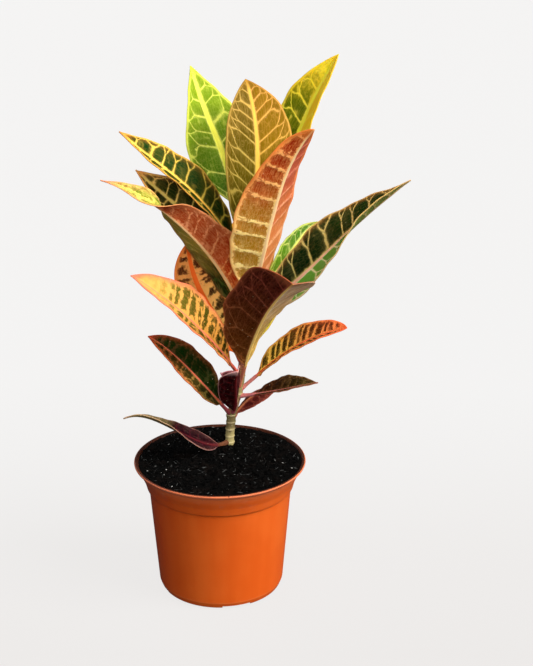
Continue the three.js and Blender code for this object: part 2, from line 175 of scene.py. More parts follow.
LEAVES = [
    Leaf("leaf_01", 237, (11, 41, 302), (-5, 53, 344), (-20, 60, 387), 48, 26, (0.2, -0.9, 0.3), (15, 15),
         widest=0.42, base=1.8, point=1, turn=80, veins=8, lean=0.5),
    Leaf("leaf_02", 256, (28, 22, 313), (27, 31, 351), (20, 46, 380), 12, 27, (0.3, -0.9, 0.2), (18, 14),
         full=2.5, base=0.7, point=0.95, veins=11.5, lean=0.75),
    Leaf("leaf_03", 230, (49, 56, 308), (67, 69, 354), (88, 80, 392), 34, 26, (-0.7, -0.5, 0.5), (22, 26),
         full=2.4, point=0.9, lean=0.6),
    Leaf("leaf_04", 220, (34, -8, 269), (46, -22, 319), (67, -34, 361), 14, 28, (-0.6, 0.7, 0.3), (24, 22),
         widest=0.42, full=2.2, base=0.9, point=0.75, veins=10.5, lean=0.2, fork=0.15),
    Leaf("leaf_05", 240, (-7, 16, 292), (-36, 14, 321), (-69, 18, 348), 24, 18, (0.7, -0.4, 0.6), (28, 28),
         widest=0.48, point=0.95, veins=10, lean=0.3, fork=0.6),
    Leaf("leaf_06", 224, (-10, 22.5, 271), (-35, 19, 298), (-57.5, 11, 322), 24, 20, (0.6, -0.6, 0.5), (20, 20),
         veins=8, lean=0.35),
    Leaf("leaf_07", 200, (-1, 2, 254), (-36, -18, 299), (-78, -30, 325), 20, 24, (0.2, 0.8, 0.5), (24, 30),
         widest=0.28, full=1.7, point=1.3, turn=-15, twist=-80, veins=14, lean=0.7),
    Leaf("leaf_08", 170, (-2, 20, 206), (-16, 25, 232), (-23, 28, 263), 10, 17, (0.2, -1, 0.2), (18, 18),
         widest=0.6, full=2.6, point=0.9, veins=10, lean=0.15, fork=0),
    Leaf("leaf_09", 160, (-8, -2, 200.5), (-34, -16, 232), (-60, -26, 255.5), 14, 21, (0.8, -0.3, 0.5), (26, 28),
         point=0.95, veins=15, lean=0.35, fork=0),
    Leaf("leaf_10", 150, (27, -10, 204), (39, -34, 236), (53, -60, 260.5), 26, 30, (-0.4, 0.7, 0.6), (22, 38),
         widest=0.72, full=3.2, base=1.5, point=0.85, turn=-45, lean=0.5),
    Leaf("leaf_11", 208, (59, 12, 241), (93, 6, 277), (136, -2, 318), 18, 23, (-0.7, -0.4, 0.6), (24, 26),
         base=0.8, turn=-90, veins=10, lean=0.4, fork=0.5),
    Leaf("leaf_12", 226, (44, 30, 243), (58, 40, 261), (73, 46, 274), 14, 14.5, (0.5, -0.8, 0), (20, 20),
         veins=7, lean=0.5),
    Leaf("leaf_13", 148, (41, 18, 174), (64, 12, 192), (94, 6, 205), 18, 15, (-0.6, -0.2, 0.7), (24, 26),
         widest=0.45, full=2.6, point=0.65, veins=14, lean=0.5, fork=0),
    Leaf("leaf_14", 128, (-11, 10, 157), (-31, 2, 183), (-51, -4, 202), 14, 15.5, (0.7, -0.5, 0.4), (22, 22),
         widest=0.45, full=2.3, point=0.95, veins=10, lean=0.4),
    Leaf("leaf_15", 130, (12, 3, 148), (12.5, -13, 166), (14.6, -25.3, 183), 6, 13, (-0.3, 0.7, 0.7), (60, 14),
         widest=0.7, full=3.0, base=1.3, point=0.7, veins=8, lean=0.5),
    Leaf("leaf_16", 144, (33, 14, 150), (52, 6, 157), (73, 0, 164), 14, 12, (-0.4, -0.1, 0.9), (24, 26),
         veins=8, lean=0.4),
    Leaf("leaf_17", 124, (19, 24, 138), (29, 27, 144), (44, 30, 147), 6, 7.5, (0.8, 0.5, -0.4), (24, 24),
         veins=6, lean=0.4),
    Leaf("leaf_18", 106.4, (-17, 2, 116), (-43, -14, 138), (-69, -24, 145.5), 10, 8.5, (0.6, 0, 0.8), (18, 18),
         widest=0.35, point=0.8, turn=90, veins=12, lean=0.4),
    Leaf("leaf_19", 143, (11, 11, 158.5), (5.6, 0.5, 168), (1.6, -7, 174.5), 8, 7, (1, -0.2, 0), (22, 22), veins=5),
    Leaf("leaf_20", 192, (20, 48, 220), (22, 76, 251), (24, 96, 279), 20, 21, (0, -0.7, 0.7), (20, 20)),
    Leaf("leaf_21", 166, (27, 50, 193), (35, 72, 210), (42, 88, 224), 18, 17, (-0.1, -0.6, 0.8), (20, 20)),
    Leaf("leaf_22", 184, (11, 46, 203), (-1, 66, 216), (-12, 80, 232), 18, 15, (-0.1, -0.5, 0.9), (20, 20)),
]


@dataclass
class Side:
    """The paint of one side of a leaf, as display colours at the foot and the tip."""

    light: tuple  # veins and the ground along them
    dark: tuple  # blocks between the veins
    rib: tuple
    rim: tuple


@dataclass
class Look:
    """How a leaf is painted: its two sides, its stalk, and the form of the blocks in millimetres."""

    slot: str
    upper: Side
    under: Side
    stalk: tuple
    vein: float = 0.4  # half width of a side vein beside the midrib
    rib: float = 1.3  # half width of the midrib's band at its foot
    inner: float = 0.5  # bare ground between the midrib and a block
    outer: float = 1.2  # bare ground between a block and the margin
    rag: float = 0.5  # how far a block's edge wanders
    gaps: float = 0.2  # share of the blocks that is lost in patches
    fade: float = 2.0  # place along the blade where the blocks have faded out
    other: tuple = ()  # light and dark, each at foot and tip, of the half that is painted differently
    half: int = 1  # which half that is: 1 the right one, -1 the left one
    on: str = "upper"  # and on which side
    blush: float = 0.3  # how far the margin's colour spreads inwards
    pale_spots_and_glints: float = 0.4  # strength of the fine pale specks, partly painted highlight specks
    net: float = 0.12  # strength of the net of finest veins in a block
    streak: float = 0.1  # strength of the light streaks along the blade
    change: tuple = (0.12, 0.92)  # where the foot's colours start and end to turn into the tip's
    glow: float = 0.2  # share of the light that enters the blade


LOOKS = {
    "leaf_01": Look("leaf_yellow",
        Side(((232, 238, 112), (214, 218, 90)), ((66, 114, 14), (118, 148, 24)), (255, 252, 96), (184, 196, 56)),
        Side(((190, 200, 90), (220, 220, 100)), ((110, 130, 50), (160, 180, 60)), (230, 220, 120), (160, 160, 60)),
        (170, 150, 80), vein=0.42, rib=2.9, outer=1.4, gaps=0.12, blush=0.25, streak=0.2, glow=0.3),
    "leaf_02": Look("leaf_olive",
        Side(((166, 150, 66), (190, 156, 78)), ((72, 64, 2), (90, 70, 6)), (240, 184, 78), (130, 92, 22)),
        Side(((200, 160, 90), (210, 150, 90)), ((120, 90, 40), (140, 80, 40)), (226, 170, 110), (190, 120, 80)),
        (190, 130, 80), vein=0.42, rib=1.9, outer=1.0, rag=0.4, gaps=0.04, net=0.18, streak=0.16,
        other=(((206, 172, 60), (230, 170, 84)), ((112, 92, 2), (136, 100, 10)))),
    "leaf_03": Look("leaf_yellow",
        Side(((255, 244, 88), (255, 216, 54)), ((20, 84, 4), (120, 124, 8)), (255, 228, 70), (255, 186, 46)),
        Side(((210, 190, 80), (230, 170, 60)), ((120, 130, 50), (190, 150, 50)), (236, 210, 110), (210, 150, 60)),
        (180, 150, 80), vein=0.7, rib=2.9, outer=1.8, fade=0.97, blush=0.4, glow=1.0, change=(0.3, 0.95),
        other=(((255, 226, 70), (255, 204, 56)), ((255, 210, 40), (255, 186, 36)))),
    "leaf_04": Look("leaf_orange",
        Side(((226, 170, 80), (220, 110, 60)), ((90, 90, 20), (110, 30, 20)), (236, 150, 90), (190, 80, 50)),
        Side(((255, 228, 146), (255, 178, 104)), ((162, 114, 14), (156, 38, 4)), (255, 216, 160), (238, 128, 50)),
        (210, 150, 110), vein=0.9, rib=2.2, inner=0.2, outer=2.4, gaps=0.06, rag=1.8, blush=0.8, net=0.16, streak=0.3,
        change=(0.3, 0.78), other=(((238, 170, 124), (228, 132, 104)), ((206, 118, 60), (178, 76, 52))), half=-1,
        on="under"),
    "leaf_05": Look("leaf_dark_green",
        Side(((156, 140, 50), (250, 206, 90)), ((4, 30, 4), (12, 56, 8)), (255, 190, 84), (200, 120, 50)),
        Side(((150, 110, 70), (170, 120, 60)), ((70, 40, 30), (80, 40, 30)), (180, 120, 80), (120, 60, 40)),
        (150, 90, 60), vein=0.42, rib=1.3, outer=0.9, gaps=0.06, net=0.05, streak=0.04),
    "leaf_06": Look("leaf_dark_green",
        Side(((222, 208, 106), (255, 208, 110)), ((8, 36, 12), (28, 46, 8)), (255, 226, 120), (255, 150, 84)),
        Side(((120, 90, 70), (140, 100, 60)), ((60, 34, 30), (70, 40, 30)), (160, 110, 80), (110, 60, 40)),
        (140, 90, 60), vein=0.36, rib=1.5, outer=1.4, gaps=0.04, net=0.05, streak=0.04),
    "leaf_07": Look("leaf_maroon",
        Side(((200, 130, 50), (232, 214, 100)), ((60, 70, 20), (86, 112, 20)), (236, 160, 80), (220, 120, 96)),
        Side(((244, 160, 84), (224, 146, 96)), ((190, 56, 10), (164, 62, 22)), (250, 210, 150), (196, 120, 76)),
        (170, 90, 60), vein=0.26, rib=1.3, outer=0.9, rag=1.9, gaps=0.14, blush=0.4, net=0.3, streak=0.4,
        # The other half is dark green at its foot: painted shade where that half runs into shadow.
        other=(((60, 90, 36), (206, 190, 104)), ((10, 30, 6), (146, 144, 56))), on="under", change=(0.1, 0.42)),
    "leaf_08": Look("leaf_orange",
        Side(((255, 208, 110), (255, 168, 88)), ((28, 30, 6), (60, 14, 4)), (255, 112, 40), (255, 132, 60)),
        Side(((190, 100, 60), (180, 90, 60)), ((90, 40, 30), (90, 40, 30)), (200, 110, 80), (150, 70, 50)),
        (190, 80, 60), vein=1.8, rib=3.4, outer=2.2, rag=1.6, gaps=0.36, blush=0.8, glow=0),
    "leaf_09": Look("leaf_orange",
        Side(((216, 150, 64), (228, 172, 88)), ((6, 34, 0), (84, 92, 14)), (236, 124, 96), (234, 116, 92)),
        Side(((220, 140, 90), (226, 150, 110)), ((140, 70, 50), (180, 100, 70)), (226, 140, 110), (210, 120, 100)),
        (218, 104, 90), vein=1.3, rib=1.5, inner=0.9, outer=2.4, rag=1.8, gaps=0.34, fade=0.9, blush=0.9, glow=0.15),
    "leaf_10": Look("leaf_maroon",
        Side(((180, 110, 50), (150, 60, 40)), ((50, 40, 18), (60, 20, 16)), (200, 120, 60), (150, 70, 50)),
        Side(((138, 88, 46), (138, 66, 52)), ((80, 38, 4), (58, 14, 6)), (252, 210, 120), (170, 96, 60)),
        (204, 124, 96), vein=0.2, rib=1.5, outer=0.6, gaps=0.05, rag=0.8, blush=0.2, net=0.26, streak=0.3,
        other=(((236, 206, 120), (255, 232, 196)), ((176, 140, 60), (214, 172, 128))), half=-1, on="under"),
    "leaf_11": Look("leaf_dark_green",
        Side(((190, 180, 104), (216, 178, 104)), ((2, 28, 6), (16, 42, 4)), (240, 192, 160), (220, 140, 70)),
        Side(((200, 210, 150), (200, 170, 110)), ((96, 140, 60), (110, 120, 50)), (226, 180, 140), (160, 140, 90)),
        (180, 120, 100), vein=0.5, rib=1.5, outer=0.7, gaps=0.05, net=0.04, streak=0.03,
        other=(((236, 246, 196), (210, 214, 130)), ((96, 176, 60), (92, 130, 40)))),
    "leaf_12": Look("leaf_light_green",
        Side(((220, 232, 108), (206, 220, 130)), ((100, 152, 22), (72, 134, 30)), (252, 250, 130), (170, 180, 80)),
        Side(((180, 190, 110), (180, 180, 110)), ((110, 140, 70), (100, 130, 70)), (210, 200, 120), (150, 150, 90)),
        (170, 140, 80), vein=0.3, rib=1.3, outer=0.8, gaps=0.1, glow=0.4),
    "leaf_13": Look("leaf_orange",
        Side(((248, 200, 84), (222, 122, 66)), ((24, 36, 4), (60, 20, 6)), (228, 92, 56), (220, 92, 50)),
        Side(((200, 110, 70), (190, 90, 60)), ((110, 50, 40), (110, 40, 30)), (210, 110, 90), (180, 80, 60)),
        (210, 130, 120), vein=0.85, rib=1.4, inner=0.7, outer=1.5, rag=1.0, gaps=0.12, blush=0.4),
    "leaf_14": Look("leaf_dark_green",
        Side(((150, 136, 66), (190, 112, 60)), ((42, 46, 10), (50, 50, 12)), (244, 122, 92), (220, 90, 54)),
        Side(((110, 60, 50), (120, 70, 50)), ((60, 26, 26), (60, 26, 26)), (150, 70, 70), (110, 50, 50)),
        (150, 70, 76), vein=0.3, rib=1.2, outer=0.8, rag=1.8, gaps=0.25, pale_spots_and_glints=0.8, streak=0.06,
        other=(((52, 64, 28), (96, 66, 36)), ((10, 36, 6), (10, 44, 6)))),
    "leaf_15": Look("leaf_maroon",
        Side(((110, 40, 40), (110, 40, 40)), ((40, 20, 16), (40, 20, 16)), (150, 60, 60), (200, 130, 130)),
        Side(((84, 18, 22), (84, 22, 24)), ((34, 2, 4), (34, 4, 6)), (96, 26, 30), (240, 186, 182)),
        (170, 90, 96), vein=0.2, rib=0.7, outer=0.4, blush=0.0),
    "leaf_16": Look("leaf_maroon",
        Side(((84, 50, 28), (94, 76, 40)), ((36, 12, 4), (42, 36, 8)), (190, 106, 96), (124, 70, 46)),
        Side(((120, 56, 50), (110, 56, 40)), ((60, 14, 16), (60, 22, 16)), (200, 110, 110), (170, 100, 90)),
        (200, 120, 120), vein=0.22, rib=1.0, outer=0.8, rag=0.9, blush=0.2),
    "leaf_17": Look("leaf_maroon",
        Side(((130, 60, 46), (130, 60, 46)), ((70, 14, 14), (76, 24, 18)), (200, 120, 80), (160, 84, 70)),
        Side(((130, 60, 46), (130, 60, 46)), ((70, 14, 14), (76, 24, 18)), (200, 120, 80), (160, 84, 70)),
        (190, 104, 90), vein=0.2, rib=0.8, outer=0.5),
    "leaf_18": Look("leaf_maroon",
        Side(((56, 14, 22), (150, 136, 92)), ((24, 4, 9), (120, 108, 64)), (84, 28, 32), (190, 140, 130)),
        Side(((84, 40, 40), (150, 136, 90)), ((50, 18, 22), (112, 100, 58)), (110, 60, 50), (160, 130, 96)),
        (104, 64, 44), vein=0.22, rib=0.9, outer=0.5, blush=0.1, change=(0.5, 0.8)),
    "leaf_19": Look("leaf_maroon",
        Side(((90, 26, 30), (90, 26, 30)), ((38, 6, 10), (38, 6, 10)), (130, 50, 60), (210, 140, 146)),
        Side(((80, 22, 26), (80, 22, 26)), ((36, 4, 8), (36, 4, 8)), (120, 46, 54), (210, 150, 156)),
        (170, 90, 96), vein=0.2, rib=0.8, outer=0.5, blush=0.15),
    "leaf_20": Look("leaf_olive",
        Side(((220, 180, 60), (230, 170, 60)), ((50, 70, 18), (110, 100, 24)), (240, 176, 70), (200, 120, 60)),
        Side(((190, 130, 80), (200, 130, 80)), ((110, 60, 36), (130, 70, 40)), (220, 150, 100), (170, 100, 70)),
        (180, 110, 80), vein=0.5, rib=1.4),
    "leaf_21": Look("leaf_light_green",
        Side(((200, 190, 70), (220, 180, 60)), ((50, 90, 24), (80, 110, 26)), (236, 200, 80), (180, 140, 60)),
        Side(((180, 140, 80), (190, 130, 70)), ((90, 70, 36), (110, 70, 36)), (210, 160, 100), (160, 100, 60)),
        (180, 110, 80), vein=0.45, rib=1.2),
    "leaf_22": Look("leaf_dark_green",
        Side(((160, 130, 60), (190, 140, 60)), ((26, 48, 20), (50, 50, 20)), (220, 120, 80), (150, 80, 50)),
        Side(((150, 90, 70), (160, 90, 60)), ((80, 36, 32), (90, 40, 30)), (190, 110, 90), (140, 70, 60)),
        (170, 90, 80), rib=1.1),
}


# Sums on arrays


def smooth(x):
    """An even S from 0 to 1 as x goes from 0 to 1."""
    q = np.clip(x, 0, 1)
    return q * q * (3 - 2 * q)


def bell(x, width):
    """A bell that is 1 where x is 0 and 1/e at width to either side."""
    return np.exp(-((x / width) ** 2))


def cubic(u, a, b, c, d):
    """The cubic curve from a to d that sets out towards b and comes in from c, at shares u of its parameter."""
    return (1 - u) ** 3 * a + 3 * u * (1 - u) ** 2 * b + 3 * u**2 * (1 - u) * c + u**3 * d


def unit(vectors):
    """The vectors of the last axis, each scaled to length 1."""
    return vectors / np.linalg.norm(vectors, axis=-1, keepdims=True)


def value_noise(x, y, seed):
    """Smooth noise from -1 to 1: random values on a lattice of step 1, blended by an S between its points."""
    size = 64
    table = np.random.default_rng(seed).uniform(-1, 1, (size, size))
    column, row = np.floor(x).astype(int), np.floor(y).astype(int)
    fx, fy = smooth(x - column), smooth(y - row)

    def corner(dx, dy):
        return table[(column + dx) % size, (row + dy) % size]

    low = corner(0, 0) + (corner(1, 0) - corner(0, 0)) * fx
    high = corner(0, 1) + (corner(1, 1) - corner(0, 1)) * fx
    return low + (high - low) * fy


def octaves(x, y, seed, count=4):
    """Value noise summed over count octaves, each twice as fine and half as high as the one before."""
    return sum(value_noise(x * 2**k, y * 2**k, seed + k) / 2**k for k in range(count))


# Meshes and objects


def ring_quads(rings, around):
    """Quads between one ring of a tube and the next."""
    i, k = np.meshgrid(np.arange(rings - 1), np.arange(around), indexing="ij")
    near, far = i * around, (i + 1) * around
    after = (k + 1) % around
    return np.stack([near + k, near + after, far + after, far + k], axis=-1).reshape(-1, 4)


def end_fans(rings, around):
    """The fans of triangles that close a tube's two ends on two last vertices."""
    k = np.arange(around)
    after = (k + 1) % around
    first, last = rings * around, rings * around + 1
    end = (rings - 1) * around
    foot = np.stack([np.full(around, first), after, k], axis=-1)
    top = np.stack([np.full(around, last), end + k, end + after], axis=-1)
    return np.concatenate([foot, top])


def placed(name, data):
    """A new object of that data, in the scene."""
    made = bpy.data.objects.new(name, data)
    bpy.context.scene.collection.objects.link(made)
    return made


def mesh_object(name, points, faces, material, **fields):
    """An object of points in millimetres and faces, whose fields of three numbers a point become its attributes."""
    mesh = bpy.data.meshes.new(name)
    mesh.from_pydata((points * MM).tolist(), [], faces)
    for key, values in fields.items():
        stored = values.astype(np.float32).ravel()
        mesh.attributes.new(key, "FLOAT_VECTOR", "POINT").data.foreach_set("vector", stored)
    mesh.materials.append(material)
    return placed(name, mesh)


def tube(name, rings, first, last, material, **fields):
    """A closed mesh object from rings of points, shaped (rings, around, 3), and the points that close its two ends.

    Each field holds three numbers for every ring point, and becomes a vertex attribute of that name.
    """
    count, around = rings.shape[:2]
    points = np.concatenate([rings.reshape(-1, 3), [first, last]])
    for key, values in fields.items():
        ends = [values[0].mean(axis=0), values[-1].mean(axis=0)]
        fields[key] = np.concatenate([values.reshape(-1, 3), ends])
    faces = ring_quads(count, around).tolist() + end_fans(count, around).tolist()
    made = mesh_object(name, points, faces, material, **fields)
    made.data.shade_smooth()
    return made


def carry(piece, slot, *nodes):
    """Makes a finished piece ride on the plant's one body and hides the nodes it stands for; its material slot is not
    used.
    """
    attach(piece, BODY)
    if nodes:
        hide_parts(*nodes)


# Shaders


def solid(colour):
    """Three numbers of linear light as the four that a colour socket takes."""
    return tuple(colour) + (1.0,)


def display(red, green, blue):
    """A display colour of 0 to 255 as linear light."""
    def linear(c):
        return c / 12.92 if c <= 0.04045 else ((c + 0.055) / 1.055) ** 2.4
    return solid(linear(c / 255) for c in (red, green, blue))


class Value:
    """A shader socket that joins in sums: each operation on it adds a Math node."""

    def __init__(self, shader, socket):
        self.shader = shader
        self.socket = socket

    def math(self, operation, *others):
        """A Math node of that operation on this value and the others."""
        inputs = dict(enumerate((self, *others)))
        return self.shader.node("ShaderNodeMath", {"operation": operation}, inputs)

    def __add__(self, other):
        return self.math("ADD", other)

    def __mul__(self, other):
        return self.math("MULTIPLY", other)

    def __sub__(self, other):
        return self.math("SUBTRACT", other)

    def __truediv__(self, other):
        return self.math("DIVIDE", other)

    def __rsub__(self, other):
        return self * -1.0 + other

    def __rtruediv__(self, other):
        return self.math("POWER", -1.0) * other

    def __abs__(self):
        return self.math("ABSOLUTE")

    __radd__ = __add__
    __rmul__ = __mul__

    def step(self, low, high):
        """An S that is 0 at low and 1 at high."""
        inputs = {"Value": self, "From Min": low, "From Max": high}
        return self.shader.node("ShaderNodeMapRange", {"interpolation_type": "SMOOTHSTEP"}, inputs)


class Shader:
    """A material under construction, whose nodes are added one by one."""

    def __init__(self, name):
        self.material = bpy.data.materials.new(name)
        self.material.use_nodes = True
        self.nodes = self.material.node_tree.nodes
        self.links = self.material.node_tree.links
        self.nodes.clear()

    def node(self, kind, settings=None, inputs=None, output=0):
        """A node of that kind, with its settings made first and then its sockets filled or linked."""
        made = self.nodes.new(kind)
        for key, value in (settings or {}).items():
            setattr(made, key, value)
        for key, value in (inputs or {}).items():
            if isinstance(value, Value):
                self.links.new(value.socket, made.inputs[key])
            else:
                made.inputs[key].default_value = value
        return Value(self, made.outputs[output]) if made.outputs else None

    def parts(self, vector):
        """The three numbers of a vector socket."""
        split = self.node("ShaderNodeSeparateXYZ", {}, {"Vector": vector})
        return [Value(self, output) for output in split.socket.node.outputs]

    def join(self, x, y, z):
        """A vector of three numbers."""
        return self.node("ShaderNodeCombineXYZ", {}, {"X": x, "Y": y, "Z": z})

    def field(self, name):
        """The three numbers of a vertex attribute."""
        return self.parts(self.node("ShaderNodeAttribute", {"attribute_name": name}, {}, "Vector"))

    def object_place(self, scale=(1, 1, 1)):
        """Object coordinates, scaled by a Mapping node."""
        place = self.node("ShaderNodeTexCoord", {}, {}, "Object")
        return self.node("ShaderNodeMapping", {}, {"Vector": place, "Scale": scale})

    def noise(self, vector, scale, detail=3.0, roughness=0.5):
        """Noise from 0 to 1, at scale waves to the unit."""
        inputs = {"Vector": vector, "Scale": scale, "Detail": detail, "Roughness": roughness}
        return self.node("ShaderNodeTexNoise", {}, inputs)

    def cells(self, vector, scale, feature="DISTANCE_TO_EDGE"):
        """The distance to the walls of random cells, or with the feature F1 to their middles."""
        inputs = {"Vector": vector, "Scale": scale}
        return self.node("ShaderNodeTexVoronoi", {"feature": feature}, inputs)

    def mix(self, factor, a, b, blend="MIX"):
        """Colour a turning into colour b by factor."""
        settings = {"data_type": "RGBA", "blend_type": blend, "clamp_factor": True}
        return self.node("ShaderNodeMix", settings, {0: factor, 6: a, 7: b}, 2)

    def cover(self, colour, *layers):
        """Colour under layers, each a mask and what shows where the mask is 1: a value, or a display colour."""
        for mask, shade in layers:
            colour = self.mix(mask, colour, shade if isinstance(shade, Value) else display(*shade))
        return colour

    def finish(self, colour, roughness, height, depth, **constants):
        """Ends the material in one glossy shader: colour, roughness and a bump of that depth in millimetres."""
        normal = self.node("ShaderNodeBump", {}, {"Height": height, "Distance": depth * MM, "Strength": 1.0})
        inputs = {"Base Color": colour, "Roughness": roughness, "Normal": normal}
        inputs.update({key.replace("_", " "): value for key, value in constants.items()})
        shader = self.node("ShaderNodeBsdfPrincipled", {}, inputs)
        self.node("ShaderNodeOutputMaterial", {}, {"Surface": shader})
        return self.material


# Stem


def stem_at(z):
    """Axis points and radii of the stem at heights z, straight between the points of its table."""
    axis = np.stack([np.interp(z, STEM[:, 2], STEM[:, 0]), np.interp(z, STEM[:, 2], STEM[:, 1]), z], axis=-1)
    return axis, np.interp(z, STEM[:, 2], STEM[:, 3])


def stem_piece(settings):
    """The stem: circles on its axis, with a ring and an oval pad at each leaf scar and faint ridges up the bark."""
    z = np.linspace(STEM[0, 2], STEM[-1, 2], STEM_RINGS)
    a = np.linspace(0, 2 * math.pi, settings.around, endpoint=False)
    axis, radius = stem_at(z)
    above = z[:, None] - SCARS
    ring = bell(above, np.where(above < 0, 0.9, 0.4)).sum(axis=1)
    bearing = np.arange(len(SCARS)) * GOLDEN_TURN
    off = np.angle(np.exp(1j * (a[None, :] - bearing[:, None])))
    pad = (bell(off, 0.55) * bell(above[:, :, None] + 1.2, 1.5)).sum(axis=1)
    ridge = octaves(a[None, :] * 5 / math.pi + 0 * z[:, None], z[:, None] * 0.09, 4)
    bark = value_noise(a[None, :] * 12 / math.pi + 0 * z[:, None], z[:, None] * 0.6, 9)
    grown = radius[:, None] + SCAR_HIGH * ring[:, None] + settings.pad * pad + RIDGE_HIGH * ridge + BARK_HIGH * bark
    circle = np.stack([np.cos(a), np.sin(a), 0 * a], axis=-1)
    rings = axis[:, None] + grown[..., None] * circle
    field = np.stack([np.broadcast_to(z[:, None], pad.shape), np.broadcast_to(ring[:, None], pad.shape), pad], axis=-1)
    return tube("stem_bark", rings, axis[0], axis[-1] + (0, 0, 0.4), stem_material(settings), bark=field)


def stem_material(settings):
    """Bark: tan and green at the foot, dark below the first leaves, browner above, with pale rings and dark pads."""
    sh = Shader("stem_bark")
    z, ring, pad = sh.field("bark")
    grain = sh.noise(sh.object_place((900, 900, 160)), 1.0, 5, 0.6)
    patch = sh.noise(sh.object_place((160, 160, 60)), 1.0, 3)
    rise = (z + patch * 30).step(120, 175)
    dark = (z + patch * 10).step(119, 124) * (1 - (z + patch * 10).step(132, 150))
    speck = 1 - sh.cells(sh.object_place((520, 520, 300)), 1.0, "F1").step(0.1, 0.2)
    bark = sh.cover(
        sh.mix(rise, solid(settings.foot_colour), solid(settings.top_colour)),
        (patch.step(0.42, 0.62) * 0.6, (138, 150, 84)),
        (dark * 0.7, (84, 70, 34)),
        (grain.step(0.52, 0.7) * 0.45, (92, 74, 46)),
        (ring.step(0.25, 0.9) * 0.55, (206, 190, 146)),
        (pad.step(0.55, 0.95) * 0.7, (96, 74, 52)),
        (speck * 0.5, (216, 204, 168)),
    )
    return sh.finish(bark, grain * 0.2 + 0.55, grain + speck * 0.4, 0.25)


# Leaves


def midrib(leaf):
    """The leaf's midrib: a function from lengths to points and directions, and its whole length.

    It is the cubic curve that starts on the stem's axis and passes near, far and tip a third, two thirds and all of the
    way, taken at even lengths by adding up its chords.
    """
    root, near, far, tip = (np.array(p, float) for p in (stem_at(leaf.root)[0], leaf.near, leaf.far, leaf.tip))
    first = (-5 * root + 18 * near - 9 * far + 2 * tip) / 6
    second = (2 * root - 9 * near + 18 * far - 5 * tip) / 6
    u = np.linspace(0, 1, CHORDS + 1)[:, None]
    points = cubic(u, root, first, second, tip)
    lengths = np.concatenate([[0], np.cumsum(np.linalg.norm(np.diff(points, axis=0), axis=1))])

    def at(s):
        w = np.interp(s, lengths, u[:, 0])[:, None]
        slope = (1 - w) ** 2 * (first - root) + 2 * w * (1 - w) * (second - first) + w**2 * (tip - second)
        return cubic(w, root, first, second, tip), unit(slope)

    return at, lengths[-1]


def half_width(leaf, t):
    """Half the blade's width at shares t of it: 1 minus a power of the distance from the widest place, to a power."""
    away = np.where(t < leaf.widest, (leaf.widest - t) / leaf.widest, (t - leaf.widest) / (1 - leaf.widest))
    power = np.where(t < leaf.widest, leaf.base, leaf.point)
    return np.maximum(leaf.half * np.maximum(0, 1 - away**leaf.full) ** power, STALK_HALF * (1 - t) + TIP_HALF)


def vein_phase(leaf, length, t, v, half):
    """How many side veins lie below a point, and the spacing there: a vein passes where the count is whole.

    Along the midrib the count grows a little faster towards the tip. A vein leans forward by lean times its distance
    from the midrib, bends further forward near the margin, and is set off its even place by two slow waves.
    """
    number = LEAVES.index(leaf)
    spacing = length * (1 + VEIN_GROWTH) / (leaf.veins * (1 + 2 * VEIN_GROWTH * t))
    out = np.abs(v) * half
    forward = leaf.lean * out + 0.5 * leaf.lean * half * np.maximum(0, np.abs(v) - 0.6) ** 2 * 3
    count = leaf.veins * (t + VEIN_GROWTH * t * t) / (1 + VEIN_GROWTH) - forward / spacing
    count = count + np.where(v < 0, 0.0, 0.5) + 40
    start = number * 1.7 + np.where(v < 0, 0.0, 2.2)
    return count + 0.16 * np.sin(count * 1.7 + start) + 0.09 * np.sin(count * 3.3 + start * 2.3), spacing


